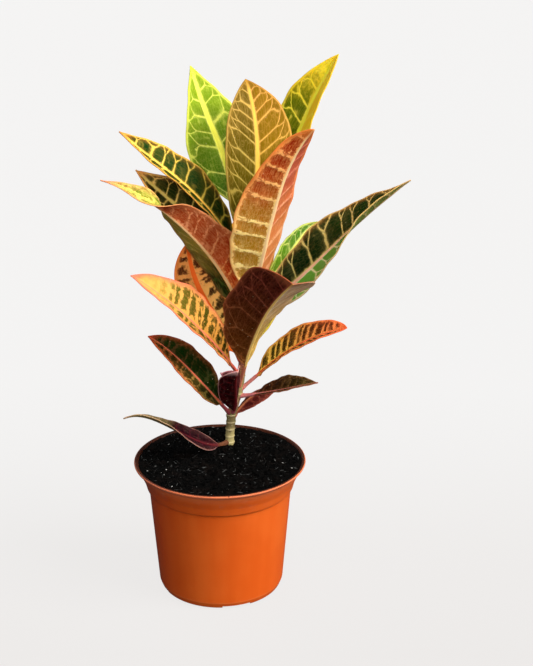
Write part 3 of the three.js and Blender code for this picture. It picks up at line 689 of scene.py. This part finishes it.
def leaf_piece(leaf, settings):
    """A leaf as one closed tube: round sections up the stalk that open into thin winged ones along the blade.

    A section's upper and under side lie half a thickness either side of the middle surface. That surface rises from
    the midrib at the fold's angle, ripples towards the margin, and bulges between the side veins. The midrib is a keel
    below and a low ridge in a groove above. Each side vein is a groove above and a ridge below.
    """
    at, length = midrib(leaf)
    number = LEAVES.index(leaf)
    blade = length - leaf.stalk
    reach = np.linspace(0, ROOT_REACH, 4 * ROOT_REACH + 1)
    axis, radius = stem_at(np.array([leaf.root]))
    inside = np.linalg.norm((at(reach)[0] - axis[0])[:, :2], axis=1)
    foot = 0.0 if leaf.root >= STEM[-1, 2] else float(np.interp(ROOT_DEPTH * radius[0], inside, reach))
    steps = max(60, round(blade / settings.cell))
    f = np.linspace(0, 1, steps)
    blade_s = leaf.stalk + blade * (0.999 * (f + 0.12 * np.sin(math.pi * f) ** 2 * (f - 0.5)))
    stalk_s = np.linspace(foot, leaf.stalk, max(8, round(leaf.stalk)), endpoint=False)
    s = np.concatenate([stalk_s, blade_s])
    t = np.clip((s - leaf.stalk) / blade, 0, 1)
    point, along = at(s)
    face = unit(np.array(leaf.face, float))
    up = unit(face - (along @ face)[:, None] * along)
    right = np.cross(along, up)
    roll = np.radians(leaf.turn * (t - 0.5) + leaf.twist * smooth((t - TWIST_FROM) / TWIST_OVER))[:, None]
    up, right = up * np.cos(roll) + right * np.sin(roll), right * np.cos(roll) - up * np.sin(roll)

    a = np.linspace(-1, 1, max(25, 2 * round(leaf.half / settings.cell * 0.62) + 1))
    v = (ACROSS_EVEN * a + (1 - ACROSS_EVEN) * a**3)[None, :]
    T = t[:, None]
    wobble = value_noise(np.where(v < 0, 3.1, 17.4) + 9 * T, 0 * T + number + 0 * v, 13)
    young = min(1, leaf.half / YOUNG_HALF)
    wobble = settings.wobble * young * wobble * smooth(T / 0.1) * smooth((1 - T) / 0.06)
    half = half_width(leaf, t)[:, None] * (1 + wobble)
    bloom = np.sqrt(np.sin(math.pi * np.clip(T, 0, 1)))
    fold = np.radians(np.where(v < 0, leaf.fold[0], leaf.fold[1])) * smooth(T / FOLD_OVER)
    phase = 2 * math.pi * WAVES * T + WAVE_SHIFT * number + np.where(v < 0, 0, WAVE_OFFSET)
    count, spacing = vein_phase(leaf, blade, T, v, half)
    split = 0.5 * leaf.fork * smooth((np.abs(v) - FORK_FROM) / FORK_OVER)
    beside = np.abs(np.abs((count + 0.5) % 1 - 0.5) - split) * spacing
    out = np.abs(v) * half
    rim = smooth((1 - np.abs(v)) * half / 2.5)
    grow = smooth(T / (2 * GROWN_OVER)) * smooth((1 - T) / 0.08)
    pillow = smooth(beside / (0.42 * spacing)) * smooth((out - 1) / 3) * rim * grow
    groove = bell(beside, GROOVE_WIDE) * smooth((out - 0.8) / 2) * rim * grow * (1.1 - 0.6 * np.abs(v))
    ripple = settings.ripple * young * v**4 * np.sin(phase * 2.6 + 1.3 * number) * bloom
    dimple = 0.3 * settings.ripple * value_noise(T * blade / 9 + 5 * number, v * half / 9, 11) * rim
    middle = WAVE_SHARE * leaf.half * v**2 * np.sin(phase) * bloom + ripple + dimple + settings.pillow * pillow
    keel_wide = RIB_WIDE * (1 - 0.6 * T)
    keel = RIB_HIGH * (1 - 0.8 * T) * bell(out, 0.75 * keel_wide)
    ridge = 0.22 * bell(out, 0.6) - 0.30 * bell(out - 1.7, 0.8)
    over = BLADE_THICK / 2 + ridge * grow - settings.groove * groove
    under = -BLADE_THICK / 2 - keel - 0.9 * settings.groove * groove

    def surface(lift):
        """Points of the blade that stand lift above its middle surface."""
        x = v * half * np.cos(fold) - np.sign(v) * np.sin(fold) * lift
        z = np.abs(v) * half * np.sin(fold) + np.cos(fold) * lift + middle
        return point[:, None] + x[..., None] * right[:, None] + z[..., None] * up[:, None]

    def edge(side):
        """The rounded margin, a little outside the blade's last points."""
        k = 0 if side < 0 else -1
        x = side * (half[:, k] + 0.3 * BLADE_THICK) * np.cos(fold[:, k])
        z = half[:, k] * np.sin(fold[:, k]) + middle[:, k]
        return point + x[:, None] * right + z[:, None] * up

    sections = np.concatenate(
        [surface(over), edge(1)[:, None], surface(under)[:, ::-1], edge(-1)[:, None]], axis=1
    )
    lean = 90 - 82 * a
    bearing = np.radians(np.concatenate([lean, [0], -lean[::-1], [180]]))
    stalk = STALK_R * (1 - 0.25 * T) + (STALK_FOOT_R - STALK_R) * (1 - smooth((s[:, None] - 2) / 9))
    stalk = stalk * (1 - 0.16 * bell(bearing - math.pi / 2, 0.5) * smooth((s[:, None] - 4) / 4))
    disc = np.cos(bearing)[None, :, None] * right[:, None] + np.sin(bearing)[None, :, None] * up[:, None]
    round_sections = point[:, None] + stalk[..., None] * disc
    grown = smooth(T / GROWN_OVER)[..., None]
    rings = sections * grown + round_sections * (1 - grown)

    def lay(values):
        """A field of the blade laid round the whole section."""
        values = np.broadcast_to(values, (len(s), len(a)))
        return np.concatenate([values, values[:, -1:], values[:, ::-1], values[:, :1]], axis=1)

    below = np.concatenate([0 * a, [0.5], 0 * a + 1, [0.5]])[None, :] + 0 * T
    margin = (1 - np.abs(v)) * half
    vein = np.stack([lay(count), lay(spacing), lay(margin)], axis=-1)
    place = np.stack([lay(v * half), lay(T), below], axis=-1)
    ends = point[0] - 0.2 * along[0], point[-1] + 0.3 * along[-1]
    name = leaf.name.replace("leaf", "blade")
    return tube(name, rings, *ends, leaf_material(leaf, blade, settings), vein=vein, place=place)


def leaf_material(leaf, blade, settings):
    """Croton paint: light midrib, veins and margin, and dark blocks between them whose edges wander.

    A side vein runs where the count of veins is whole, and splits in two before the margin, so that it meets its
    neighbours in arches. A block is the place whose least distance from the nearest side vein, the midrib's band and
    the margin is more than 0, after noise is added, and that least distance is taken with rounded corners.
    """
    look = LOOKS[leaf.name]
    sh = Shader(leaf.name)
    count, spacing, margin = sh.field("vein")
    x, t, below = sh.field("place")
    seed = 7.3 * LEAVES.index(leaf)
    away = abs(x)
    share = away / (away + margin + 0.01)
    local = sh.join(x, t * blade, below * 0.4 + seed)
    wander = sh.noise(local, 0.33, 3, 0.6)
    fine = sh.noise(local, 1.6, 4, 0.65)
    broad = sh.noise(local, 0.07, 2)
    split = (share + (wander - 0.5) * 0.16).step(0.55, 0.93) * (0.5 * leaf.fork)
    beside = abs(abs((count + 0.5).math("FRACT") - 0.5) - split) * spacing
    width = (share * -0.5 + 1.1) * look.vein + 0.45 / (away * 0.9 + 1.0)
    from_vein = beside - width
    from_rib = away - (t * -0.62 + 1) * look.rib - look.inner
    from_rim = margin - look.outer
    depth = from_vein.math("SMOOTH_MIN", from_rib, BLOCK_ROUND).math("SMOOTH_MIN", from_rim, BLOCK_ROUND)
    depth = depth + (wander - 0.5) * (4 * look.rag) + (fine - 0.5) * look.rag
    patch = sh.noise(sh.join(away * 0.14, count * 1.3, seed), 1.0, 2, 0.6)
    kept = 1 - patch.step(0.62 - 0.3 * look.gaps, 0.74 - 0.3 * look.gaps) * min(1.0, 3 * look.gaps)
    kept = kept * (1 - (t + (wander - 0.5) * 0.3).step(look.fade - 0.25, look.fade))
    block = depth.step(-0.25, 0.4) * kept

    run = (t + (broad - 0.5) * 0.35).step(*look.change)
    swap = (x * look.half).step(-0.4, 0.4)

    def shade(which, place):
        """A colour that runs from foot to tip, differently above, below and on a half of its own."""
        ends = [getattr(side, which) for side in (look.upper, look.under)]
        above, under = (sh.mix(run, display(*foot), display(*tip)) for foot, tip in ends)
        side = sh.mix(below, above, under)
        if not look.other:
            return side
        own = 1 - below if look.on == "upper" else below
        foot, tip = look.other[place]
        return sh.mix(swap * own, side, sh.mix(run, display(*foot), display(*tip)))

    def sided(which):
        """A colour that differs above and below."""
        return sh.mix(below, display(*getattr(look.upper, which)), display(*getattr(look.under, which)))

    light, dark, rim = shade("light", 0), shade("dark", 1), sided("rim")
    net = sh.cells(sh.join(away * 0.9, count * spacing * 0.55, seed), 0.55)
    thread = 1 - net.step(0.02, 0.09)
    streaks = sh.noise(sh.join(x * 0.9, t * blade * 0.1, seed), 1.0, 4, 0.6)
    block_tone = sh.noise(sh.join(x * 0.04, count * 0.9, seed), 1.0, 1)
    soft = sh.mix(0.3, dark, light)
    near_rim = (1 - (margin + (wander - 0.5) * 5).step(0.0, 5.0)) * (run * 0.6 + 0.4)
    band = (from_rib * -1 - look.inner + (fine - 0.5) * 0.5).step(-0.25, 0.35)
    line = (1 - (margin + (wander - 0.5) * 0.8).step(0.1, 0.6)) * t.step(0.02, 0.06)
    near_tip = (t + (fine - 0.5) * 0.06).step(0.9, 0.98)
    # Fine pale specks, partly painted highlight specks on the blade.
    spot_and_glint = (1 - sh.cells(local, 0.16, "F1").step(0.05, 0.09)) * fine.step(0.45, 0.6)
    bare = sh.mix((fine + broad - 1.0).step(0.0, 0.3) * 0.3, light, soft)
    ground = sh.cover(
        sh.mix((depth + (fine - 0.5) * 2).step(-0.2, 1.3), soft, dark),
        ((wander + fine - 1.0).step(-0.1, 0.35) * look.streak, light),
        (block_tone.step(0.45, 0.75) * 0.2, soft),
        (streaks.step(0.5, 0.68) * look.streak, sh.mix(0.7, light, rim)),
        (thread * look.net, light),
    )
    colour = sh.cover(
        sh.mix(block, bare, ground),
        (near_rim * look.blush, rim),
        (band, sided("rib")),
        (line * 0.45, rim),
        (near_tip * 0.6, rim),
        (spot_and_glint * look.pale_spots_and_glints, (236, 226, 190)),
        (1 - t.step(0.0, 0.05), look.stalk),
    )
    tone = (broad * 0.3 + 0.86) * (fine * 0.12 + 0.94)
    colour = sh.mix(1.0, colour, sh.join(tone, tone, tone), "MULTIPLY")
    roughness = (fine - 0.5) * 0.16 + below * 0.12 + settings.roughness
    relief = net.step(0.0, 0.25) * 0.6 + fine * 0.4
    return sh.finish(colour, roughness, relief, 0.12, IOR=1.45, Specular_IOR_Level=settings.shine,
                     Subsurface_Weight=min(1, settings.glow * look.glow), Subsurface_Radius=(1.0, 0.8, 0.3),
                     Subsurface_Scale=0.0016)


# Pot


def rounded(profile, radius, steps=5):
    """A polyline with each inner corner turned into a short parabola that starts radius before it."""
    points = np.array(profile, float)
    made = [points[:1]]
    u = np.linspace(0, 1, steps)[:, None]
    for before, corner, after in zip(points[:-2], points[1:-1], points[2:]):
        reach = [min(radius, 0.45 * np.linalg.norm(end - corner)) for end in (before, after)]
        start = corner + unit(before - corner) * reach[0]
        stop = corner + unit(after - corner) * reach[1]
        made.append((1 - u) ** 2 * start + 2 * u * (1 - u) * corner + u**2 * stop)
    return np.concatenate(made + [points[-1:]])


def dense(profile, longest):
    """The same polyline with its long stretches cut into steps no longer than longest."""
    made = [profile[:1]]
    for a, b in zip(profile[:-1], profile[1:]):
        steps = max(1, math.ceil(np.linalg.norm(b - a) / longest))
        made.append(a + (b - a) * (np.arange(1, steps + 1) / steps)[:, None])
    return np.concatenate(made)


def lathe(profile, around):
    """Rings round the Z axis through the points (radius, height) of a profile."""
    a = np.linspace(0, 2 * math.pi, around, endpoint=False)
    r, z = profile[:, :1], profile[:, 1:]
    return np.stack([r * np.cos(a), r * np.sin(a), z + 0 * a], axis=-1)


def notch_cutters(material):
    """For each drain notch, the box that cuts it and the rod that cuts the hole in it."""
    near, far, side = NOTCH_FROM, NOTCH_FROM + NOTCH_DEEP, NOTCH_WIDE / 2
    box = np.array([(near, -side), (far, -side), (far, side), (near, side)])
    hole = lathe(np.array([(DRAIN_R, 0)]), DRAIN_AROUND)[0, :, :2] + (DRAIN_AT, 0)
    cutters = []
    for i in range(NOTCH_COUNT):
        bearing = math.radians(NOTCH_TURN + 360 / NOTCH_COUNT * i)
        c, s = math.cos(bearing), math.sin(bearing)
        turn = np.array([(c, s, 0), (-s, c, 0), (0, 0, 1)])
        for outline, top in ((box, NOTCH_HIGH), (hole, DRAIN_HIGH)):
            rings = np.array([[(x, y, z) for x, y in outline] for z in (-CUT_BELOW, top)]) @ turn
            middle = np.append(outline.mean(axis=0), 0) @ turn
            ends = middle - (0, 0, CUT_BELOW), middle + (0, 0, top)
            cutters.append(tube("cutter", rings, *ends, material))
    return cutters


def pot_piece(settings):
    """The pot: its closed profile turned round the axis, and a notch with a drain hole cut at four places."""
    corners = POT_UNDERSIDE + POT_OUTSIDE + POT_INSIDE + [(0, POT_FLOOR)]
    profile = dense(rounded(corners, CORNER_ROUND), 6.0)[1:-1]
    rings = lathe(profile, settings.around)
    material = pot_material(settings)
    pot = tube("pot_shell", rings, (0, 0, 0), (0, 0, POT_FLOOR), material)
    cutters = notch_cutters(material)
    for cutter in cutters:
        cut = pot.modifiers.new("notch", "BOOLEAN")
        cut.operation = "DIFFERENCE"
        cut.solver = "EXACT"
        cut.object = cutter
    shaped = pot.evaluated_get(bpy.context.evaluated_depsgraph_get())
    mesh = bpy.data.meshes.new_from_object(shaped)
    pot.modifiers.clear()
    pot.data = mesh
    for cutter in cutters:
        bpy.data.objects.remove(cutter)
    mesh.set_sharp_from_angle(angle=math.radians(40))
    return pot


def pot_material(settings):
    """Moulded plastic: orange with faint flow lines, dusty and paler at the lip, with painted light and shade: a deep
    red shade on the left side, a reflection on the lip, light under the lip, a highlight line above the foot, and
    shade, with a film of soil, on the inside wall over the soil.
    """
    sh = Shader("pot_plastic")
    place = sh.object_place()
    x, y, z = sh.parts(place)
    z = z / MM
    reach = (x * x + y * y).math("SQRT") / MM
    cloud = sh.noise(place, 22, 3)
    flow = sh.noise(sh.object_place((95, 95, 6)), 1.0, 3)
    scuff = sh.noise(sh.object_place((60, 60, 1400)), 1.0, 4, 0.6)
    grain = sh.noise(place, 1500, 2)
    dust = sh.noise(place, 130, 5, 0.7)
    deep = (cloud * 0.6 + flow * 0.4).step(0.36, 0.64)
    lip_colour = solid(settings.lip_colour)
    # Painted shade: the left side, away from the key light, is painted a deeper red.
    painted_left_shade = 1 - ((x - y * 0.2) / MM + (cloud - 0.5) * 12).step(-50, -6)
    # The lip is paler from dust and wear, and from a painted reflection on it.
    lip = (z + (dust - 0.5) * 2.4).step(97.6, 100.0)
    haze = dust.step(0.5, 0.7) * z.step(79, 99)
    # Painted light under the lip, where the lip casts its shade; weaker on the shaded left side.
    painted_light_under_lip = z.step(91, 97.5) * (1 - painted_left_shade * 0.7)
    # Painted highlight: a lighter line where the foot's chamfer begins.
    foot_highlight_line = z.step(4.6, 5.4) * (1 - z.step(5.6, 6.4))
    # The inside wall above the soil, painted dark brown: painted shade with a film of soil.
    inside_shade_and_soil = (1 - (reach + (dust - 0.5) + (z * -0.85 + 86.4)).step(62.9, 63.7)) * z.step(92, 93)
    crumb = (1 - sh.cells(place, 210, "F1").step(0.1, 0.17)) * dust.step(0.5, 0.6) * z.step(90, 101)
    colour = sh.mix(deep * 0.6, solid(settings.colour), solid(settings.deep_colour))
    # Painted shade on the left side.
    colour = sh.mix(painted_left_shade * 0.5, colour, display(160, 34, 4))
    pale = sh.mix(dust.step(0.35, 0.65) * 0.5, lip_colour, display(136, 70, 52))
    colour = sh.mix(lip * 0.8, colour, pale)
    colour = sh.cover(
        sh.mix(haze * 0.36, colour, lip_colour),
        (painted_light_under_lip * (dust * 0.5 + 0.15), (244, 132, 78)),
        (foot_highlight_line * 0.3, (232, 128, 70)),
        (inside_shade_and_soil * 0.93, (34, 15, 11)),
        (crumb * 0.8, (40, 24, 18)),
    )
    roughness = scuff * 0.14 + lip * 0.14 + settings.roughness
    height = scuff * 0.5 + grain * 0.35 + crumb * 2 + flow * 0.6
    return sh.finish(colour, roughness, height, 0.06, IOR=1.5, Specular_IOR_Level=settings.shine,
                     Subsurface_Weight=settings.glow, Subsurface_Radius=(1.0, 0.35, 0.12), Subsurface_Scale=0.003)


# Soil


def soil_top(x, y):
    """Height of the soil: a low mound round the stem and three crossed waves, fading out at the pot's wall."""
    stem_x, stem_y = STEM[1, :2]
    mound = SOIL_MOUND * bell(np.hypot(x - stem_x, y - stem_y), SOIL_MOUND_WIDE)
    broad = 0.7 * np.sin(0.31 * x + 1.3) * np.cos(0.27 * y)
    fine = 0.5 * np.sin(0.63 * x + 0.41 * y + 0.6) + 0.4 * np.cos(0.55 * x - 0.73 * y)
    fade = 1 - np.minimum(1, np.hypot(x, y) / SOIL_EDGE) ** 6
    return SOIL_LEVEL + (mound + broad + fine) * fade


def crumble(x, y):
    """Height that the crumbs of the soil add to it: sharp-topped noise in four sizes, less at the wall."""
    rough = sum((1 - 2 * np.abs(value_noise(x / w, y / w, 30 + k))) * h for k, (w, h) in enumerate(CRUMBLE))
    return rough * (1 - 0.5 * np.minimum(1, np.hypot(x, y) / SOIL_EDGE) ** 8)


def soil_piece(settings):
    """The soil's body: level rings down the pot's wall, a little inside it, under a crumbled top."""
    radii = np.linspace(SOIL_EDGE, 0.5, SOIL_RINGS)[:, None]
    top = lathe(radii * (1, 0), SOIL_AROUND)
    x, y = top[..., 0], top[..., 1]
    top[..., 2] = soil_top(x, y) + crumble(x, y)
    rings = np.concatenate([lathe(dense(np.array(SOIL_WALL), 20), SOIL_AROUND), top])
    ends = (0, 0, SOIL_FOOT), (0, 0, float(top[-1, :, 2].mean()))
    return tube("soil_bed", rings, *ends, soil_material(settings), tone=np.zeros_like(rings))


def lumps(count, low, high, stretch, tone, sink, seed):
    """Scattered lumps: small spheres with their radii pushed in and out, stretched along X, turned and laid.

    low and high bound their radii, stretch is the longest length over width, tone bounds their lightness, and sink is
    the share of the radius by which they lie in the soil. Gives their points, their lightness, and their faces.
    """
    draw = np.random.default_rng(seed)
    polar = np.linspace(math.pi, 0, LUMP_RINGS + 2)[1:-1]
    rings = lathe(np.stack([np.sin(polar), np.cos(polar)], axis=-1), LUMP_AROUND)
    ball = np.concatenate([rings.reshape(-1, 3), [(0, 0, -1), (0, 0, 1)]])
    radius = draw.uniform(low, high, count) * draw.uniform(0.6, 1, count)
    long = draw.uniform(1, stretch, count)
    points = ball[None] * draw.uniform(0.72, 1.18, (count, len(ball), 1))
    points = points * np.stack([long, draw.uniform(0.7, 1, count), draw.uniform(0.5, 0.9, count)], axis=-1)[:, None]
    spin, tilt = draw.uniform(0, 2 * math.pi, count), draw.normal(0, 0.3, count)
    x, y, z = points[..., 0], points[..., 1], points[..., 2]
    c, s = np.cos(tilt)[:, None], np.sin(tilt)[:, None]
    x, z = x * c - z * s, x * s + z * c
    c, s = np.cos(spin)[:, None], np.sin(spin)[:, None]
    x, y = x * c - y * s, x * s + y * c
    points = np.stack([x, y, z], axis=-1) * radius[:, None, None]
    place = np.sqrt(draw.uniform(0, 1, count)) * (SOIL_EDGE - 1.5 - high * 0.6)
    bearing = draw.uniform(0, 2 * math.pi, count)
    px, py = place * np.cos(bearing), place * np.sin(bearing)
    pz = soil_top(px, py) + crumble(px, py) + radius * (0.6 - sink)
    points = points + np.stack([px, py, pz], axis=-1)[:, None]
    light = np.repeat(draw.uniform(*tone, count), len(ball))
    shift = (np.arange(count) * len(ball))[:, None, None]
    quads = (ring_quads(LUMP_RINGS, LUMP_AROUND) + shift).reshape(-1, 4)
    fans = (end_fans(LUMP_RINGS, LUMP_AROUND) + shift).reshape(-1, 3)
    return points.reshape(-1, 3), light, (quads, fans)


def crumbs_piece(settings, material):
    """Crumbs, bark slivers and pale grains on the soil, as one mesh of small closed lumps."""
    points, tones, faces, start = [], [], [], 0
    for part, *kind in LUMPS:
        lump_points, light, lump_faces = lumps(settings.crumbs // part, *kind)
        points.append(lump_points)
        tones.append(light)
        for group in lump_faces:
            faces += (group + start).tolist()
        start += len(lump_points)
    tone = np.concatenate(tones)[:, None] * (1, 1, 1)
    return mesh_object("soil_crumbs", np.concatenate(points), faces, material, tone=tone)


def soil_material(settings):
    """Moist potting soil: near black and dull, with browner patches, grey slivers and a few pale grains."""
    sh = Shader("potting_soil")
    tone = sh.field("tone")[0]
    place = sh.object_place()
    grain = sh.noise(place, 900, 4, 0.7)
    patch = sh.noise(place, 90, 3)
    colour = sh.cover(
        sh.mix(patch.step(0.45, 0.75) * 0.7, solid(settings.colour), solid(settings.brown)),
        (grain.step(0.6, 0.74) * 0.4, (36, 35, 34)),
        (tone.step(0.1, 0.4) * 0.6, (32, 28, 26)),
        (tone.step(0.42, 0.62) * 0.8, (66, 68, 68)),
        (tone.step(0.72, 0.92), (138, 138, 136)),
    )
    roughness = patch * 0.3 + 0.58
    return sh.finish(colour, roughness, grain, 0.5, Specular_IOR_Level=0.02)


# Stage


def stage_floor(settings):
    """A pale level disc that glows for the camera, so that it stays as even as a studio sweep."""
    sh = Shader("stage_floor")
    place = sh.object_place()
    cloud = sh.noise(place, 1.1, 2)
    colour = sh.mix(cloud, solid(settings.floor_colour), solid(0.94 * c for c in settings.floor_colour))
    away = (sh.parts(place)[1] + cloud * 0.6).step(-0.5, 0.7)
    seen = sh.mix(away, solid(settings.near_glow), solid(settings.far_glow))
    camera_ray = sh.node("ShaderNodeLightPath")
    glow = sh.mix(camera_ray, solid(settings.bounce), seen)
    material = sh.finish(colour, cloud * 0.1 + 0.85, cloud, 0.01, Specular_IOR_Level=0.1,
                             Emission_Color=glow, Emission_Strength=1.0)
    rings = lathe(np.array([(radius, 0) for radius in FLOOR_RINGS]), FLOOR_AROUND)
    faces = ring_quads(len(FLOOR_RINGS), FLOOR_AROUND)[:, ::-1].tolist() + [list(range(FLOOR_AROUND))]
    mesh_object("stage_floor", rings.reshape(-1, 3), faces, material)


def stage_lights(settings):
    """Broad even lights at azimuths from the camera's side and heights in degrees, and a surround.

    The key comes from the right, softer ones from above and from the front, and a weak one from behind.
    """
    for name, azimuth, height, width, colour in SUNS:
        data = bpy.data.lights.new(name, "SUN")
        data.energy = getattr(settings, name)
        data.angle = math.radians(width)
        data.color = colour
        turn = settings.key_azimuth if azimuth is None else azimuth
        placed(name, data).rotation_euler = (math.radians(90 - height), 0, math.radians(turn))
    world = bpy.data.worlds.new("surround")
    world.use_nodes = True
    nodes, links = world.node_tree.nodes, world.node_tree.links
    lit, seen = nodes["Background"], nodes.new("ShaderNodeBackground")
    lit.inputs["Color"].default_value = solid(settings.surround_colour)
    lit.inputs["Strength"].default_value = settings.surround
    seen.inputs["Color"].default_value = solid(settings.far_glow)
    camera_ray, mixed = nodes.new("ShaderNodeLightPath"), nodes.new("ShaderNodeMixShader")
    for start, end in ((camera_ray.outputs[0], 0), (lit.outputs[0], 1), (seen.outputs[0], 2)):
        links.new(start, mixed.inputs[end])
    links.new(mixed.outputs[0], nodes["World Output"].inputs["Surface"])
    bpy.context.scene.world = world


def stage_camera(settings):
    """The camera at the photograph's place, level, and turned down by its pitch."""
    data = bpy.data.cameras.new("camera")
    data.lens = settings.lens
    data.sensor_width = SENSOR_WIDE
    data.clip_end = 50
    camera = placed("camera", data)
    camera.location = tuple(settings.eye)
    camera.rotation_euler = (math.pi / 2 - settings.pitch, 0, 0)
    bpy.context.scene.camera = camera
    bpy.context.scene.view_settings.view_transform = "Standard"
    bpy.context.scene.view_settings.look = "None"


# Settings, operators and panel


def colour_property(name, description, default):
    """A colour setting whose default is a display colour."""
    return bpy.props.FloatVectorProperty(
        name=name, description=description, subtype="COLOR", size=3, min=0, max=1, default=display(*default)[:3]
    )


def number_property(name, description, default, **limits):
    """A setting that is one number."""
    return bpy.props.FloatProperty(name=name, description=description, default=default, **limits)


class PotSettings(bpy.types.PropertyGroup):
    """Sizes and colours of the pot."""

    around: bpy.props.IntProperty(name="Around", description="Steps round the pot", default=176, min=24)
    colour: colour_property("Colour", "Plastic in full light", (205, 91, 30))
    deep_colour: colour_property("Deep colour", "Plastic in its thicker places", (190, 72, 14))
    # The lip colour also carries a painted reflection on the lip.
    lip_colour: colour_property("Lip colour", "Bleached and dusty plastic of the lip", (172, 104, 84))
    roughness: number_property("Roughness", "Least roughness", 0.32, min=0, max=1)
    shine: number_property("Shine", "Strength of reflections", 0.08, min=0, max=1)
    glow: number_property("Glow", "Light let through", 0.08, min=0, max=1)


class SoilSettings(bpy.types.PropertyGroup):
    """Colours of the soil and how many crumbs lie on it."""

    crumbs: bpy.props.IntProperty(name="Crumbs", description="Loose crumbs on the soil", default=1800, min=0)
    colour: colour_property("Colour", "Wet soil", (5, 5, 5))
    brown: colour_property("Brown", "Drier patches", (16, 11, 9))


class StemSettings(bpy.types.PropertyGroup):
    """Sizes and colours of the stem."""

    around: bpy.props.IntProperty(name="Around", description="Steps round the stem", default=48, min=12)
    pad: number_property("Pad", "Height of a leaf scar's pad, mm", 0.45, min=0)
    foot_colour: colour_property("Foot colour", "Bark over the soil", (172, 158, 104))
    top_colour: colour_property("Top colour", "Younger bark above", (150, 96, 74))


class LeafSettings(bpy.types.PropertyGroup):
    """Fineness, relief and gloss of the leaves."""

    cell: number_property("Cell", "Step of the mesh along a blade, mm", 0.75, min=0.3)
    pillow: number_property("Pillow", "Bulge between the veins, mm", 0.28, min=0)
    groove: number_property("Groove", "Depth of the veins, mm", 0.2, min=0)
    ripple: number_property("Ripple", "Height of the margin's fine ripple, mm", 0.35)
    wobble: number_property("Wobble", "Unevenness of the margin", 0.045, min=0)
    roughness: number_property("Roughness", "Of the upper side", 0.46, min=0, max=1)
    shine: number_property("Shine", "Strength of reflections", 0.025, min=0, max=1)
    glow: number_property("Glow", "Light let in, over each leaf's own", 1, min=0)


class StageSettings(bpy.types.PropertyGroup):
    """Camera, lights and floor."""

    eye: bpy.props.FloatVectorProperty(
        name="Eye", description="Where the camera stands", subtype="TRANSLATION", unit="LENGTH",
        default=(0.035, -1.0, 0.573))
    pitch: bpy.props.FloatProperty(
        name="Pitch", description="How far the camera looks down", subtype="ANGLE", default=math.radians(20.3))
    lens: number_property("Lens", "Focal length, mm", 79.1, min=1)
    floor_colour: colour_property("Floor", "Colour of the floor", (50, 51, 53))
    near_glow: colour_property("Near glow", "The floor as the camera sees it in front", (216, 210, 206))
    far_glow: colour_property("Far glow", "The floor as the camera sees it behind", (237, 236, 235))
    bounce: colour_property("Bounce", "Light that the floor throws on the plant", (66, 63, 61))
    surround_colour: colour_property("Surround", "Colour of the surround", (250, 248, 246))
    surround: number_property("Surround light", "Its strength", 0.05, min=0)
    key: number_property("Key", "Strength of the right light", 5.1, min=0)
    key_azimuth: number_property("Key azimuth", "Degrees from the front", 67)
    front: number_property("Front", "Strength of the light in front", 1.4, min=0)
    top: number_property("Top", "Strength of the light above", 1.0, min=0)
    back: number_property("Back", "Strength of the light behind", 0.6, min=0)


class CROTON_OT_pot(bpy.types.Operator):
    """Make the pot"""

    bl_idname = "croton.pot"
    bl_label = "Pot"

    def execute(self, context):
        carry(pot_piece(context.scene.croton_pot), "pot_plastic", "pot")
        return {"FINISHED"}


class CROTON_OT_soil(bpy.types.Operator):
    """Make the soil and the crumbs on it"""

    bl_idname = "croton.soil"
    bl_label = "Soil"

    def execute(self, context):
        settings = context.scene.croton_soil
        bed = soil_piece(settings)
        carry(bed, "potting_soil", "soil")
        carry(crumbs_piece(settings, bed.data.materials[0]), "potting_soil")
        return {"FINISHED"}


class CROTON_OT_stem(bpy.types.Operator):
    """Make the stem"""

    bl_idname = "croton.stem"
    bl_label = "Stem"

    def execute(self, context):
        carry(stem_piece(context.scene.croton_stem), "stem_bark", "stem")
        return {"FINISHED"}


class CROTON_OT_leaves(bpy.types.Operator):
    """Make every leaf with its stalk"""

    bl_idname = "croton.leaves"
    bl_label = "Leaves"

    def execute(self, context):
        for leaf in LEAVES:
            carry(leaf_piece(leaf, context.scene.croton_leaves), LOOKS[leaf.name].slot, leaf.name)
        return {"FINISHED"}


class CROTON_OT_stage(bpy.types.Operator):
    """Make the floor, the lights and the camera"""

    bl_idname = "croton.stage"
    bl_label = "Stage"

    def execute(self, context):
        settings = context.scene.croton_stage
        stage_camera(settings)
        stage_floor(settings)
        stage_lights(settings)
        return {"FINISHED"}


class CROTON_PT_panel(bpy.types.Panel):
    """The croton's operators and their settings"""

    bl_idname = "CROTON_PT_panel"
    bl_label = "Potted Croton"
    bl_space_type = "VIEW_3D"
    bl_region_type = "UI"
    bl_category = "Croton"

    def draw(self, context):
        for name, group in SETTINGS.items():
            box = self.layout.box()
            box.operator("croton." + name)
            settings = getattr(context.scene, "croton_" + name)
            for key in group.__annotations__:
                box.prop(settings, key)


SETTINGS = {
    "pot": PotSettings,
    "soil": SoilSettings,
    "stem": StemSettings,
    "leaves": LeafSettings,
    "stage": StageSettings,
}
OPERATORS = (CROTON_OT_pot, CROTON_OT_soil, CROTON_OT_stem, CROTON_OT_leaves, CROTON_OT_stage)


def register():
    for made in (*SETTINGS.values(), *OPERATORS, CROTON_PT_panel):
        bpy.utils.register_class(made)
    for name, group in SETTINGS.items():
        setattr(bpy.types.Scene, "croton_" + name, bpy.props.PointerProperty(type=group))


def unregister():
    for name in SETTINGS:
        delattr(bpy.types.Scene, "croton_" + name)
    for made in reversed((*SETTINGS.values(), *OPERATORS, CROTON_PT_panel)):
        bpy.utils.unregister_class(made)


def main():
    register()
    bpy.ops.croton.stage()
    bpy.ops.croton.pot()
    bpy.ops.croton.soil()
    bpy.ops.croton.stem()
    bpy.ops.croton.leaves()


if __name__ == "__main__":
    main()
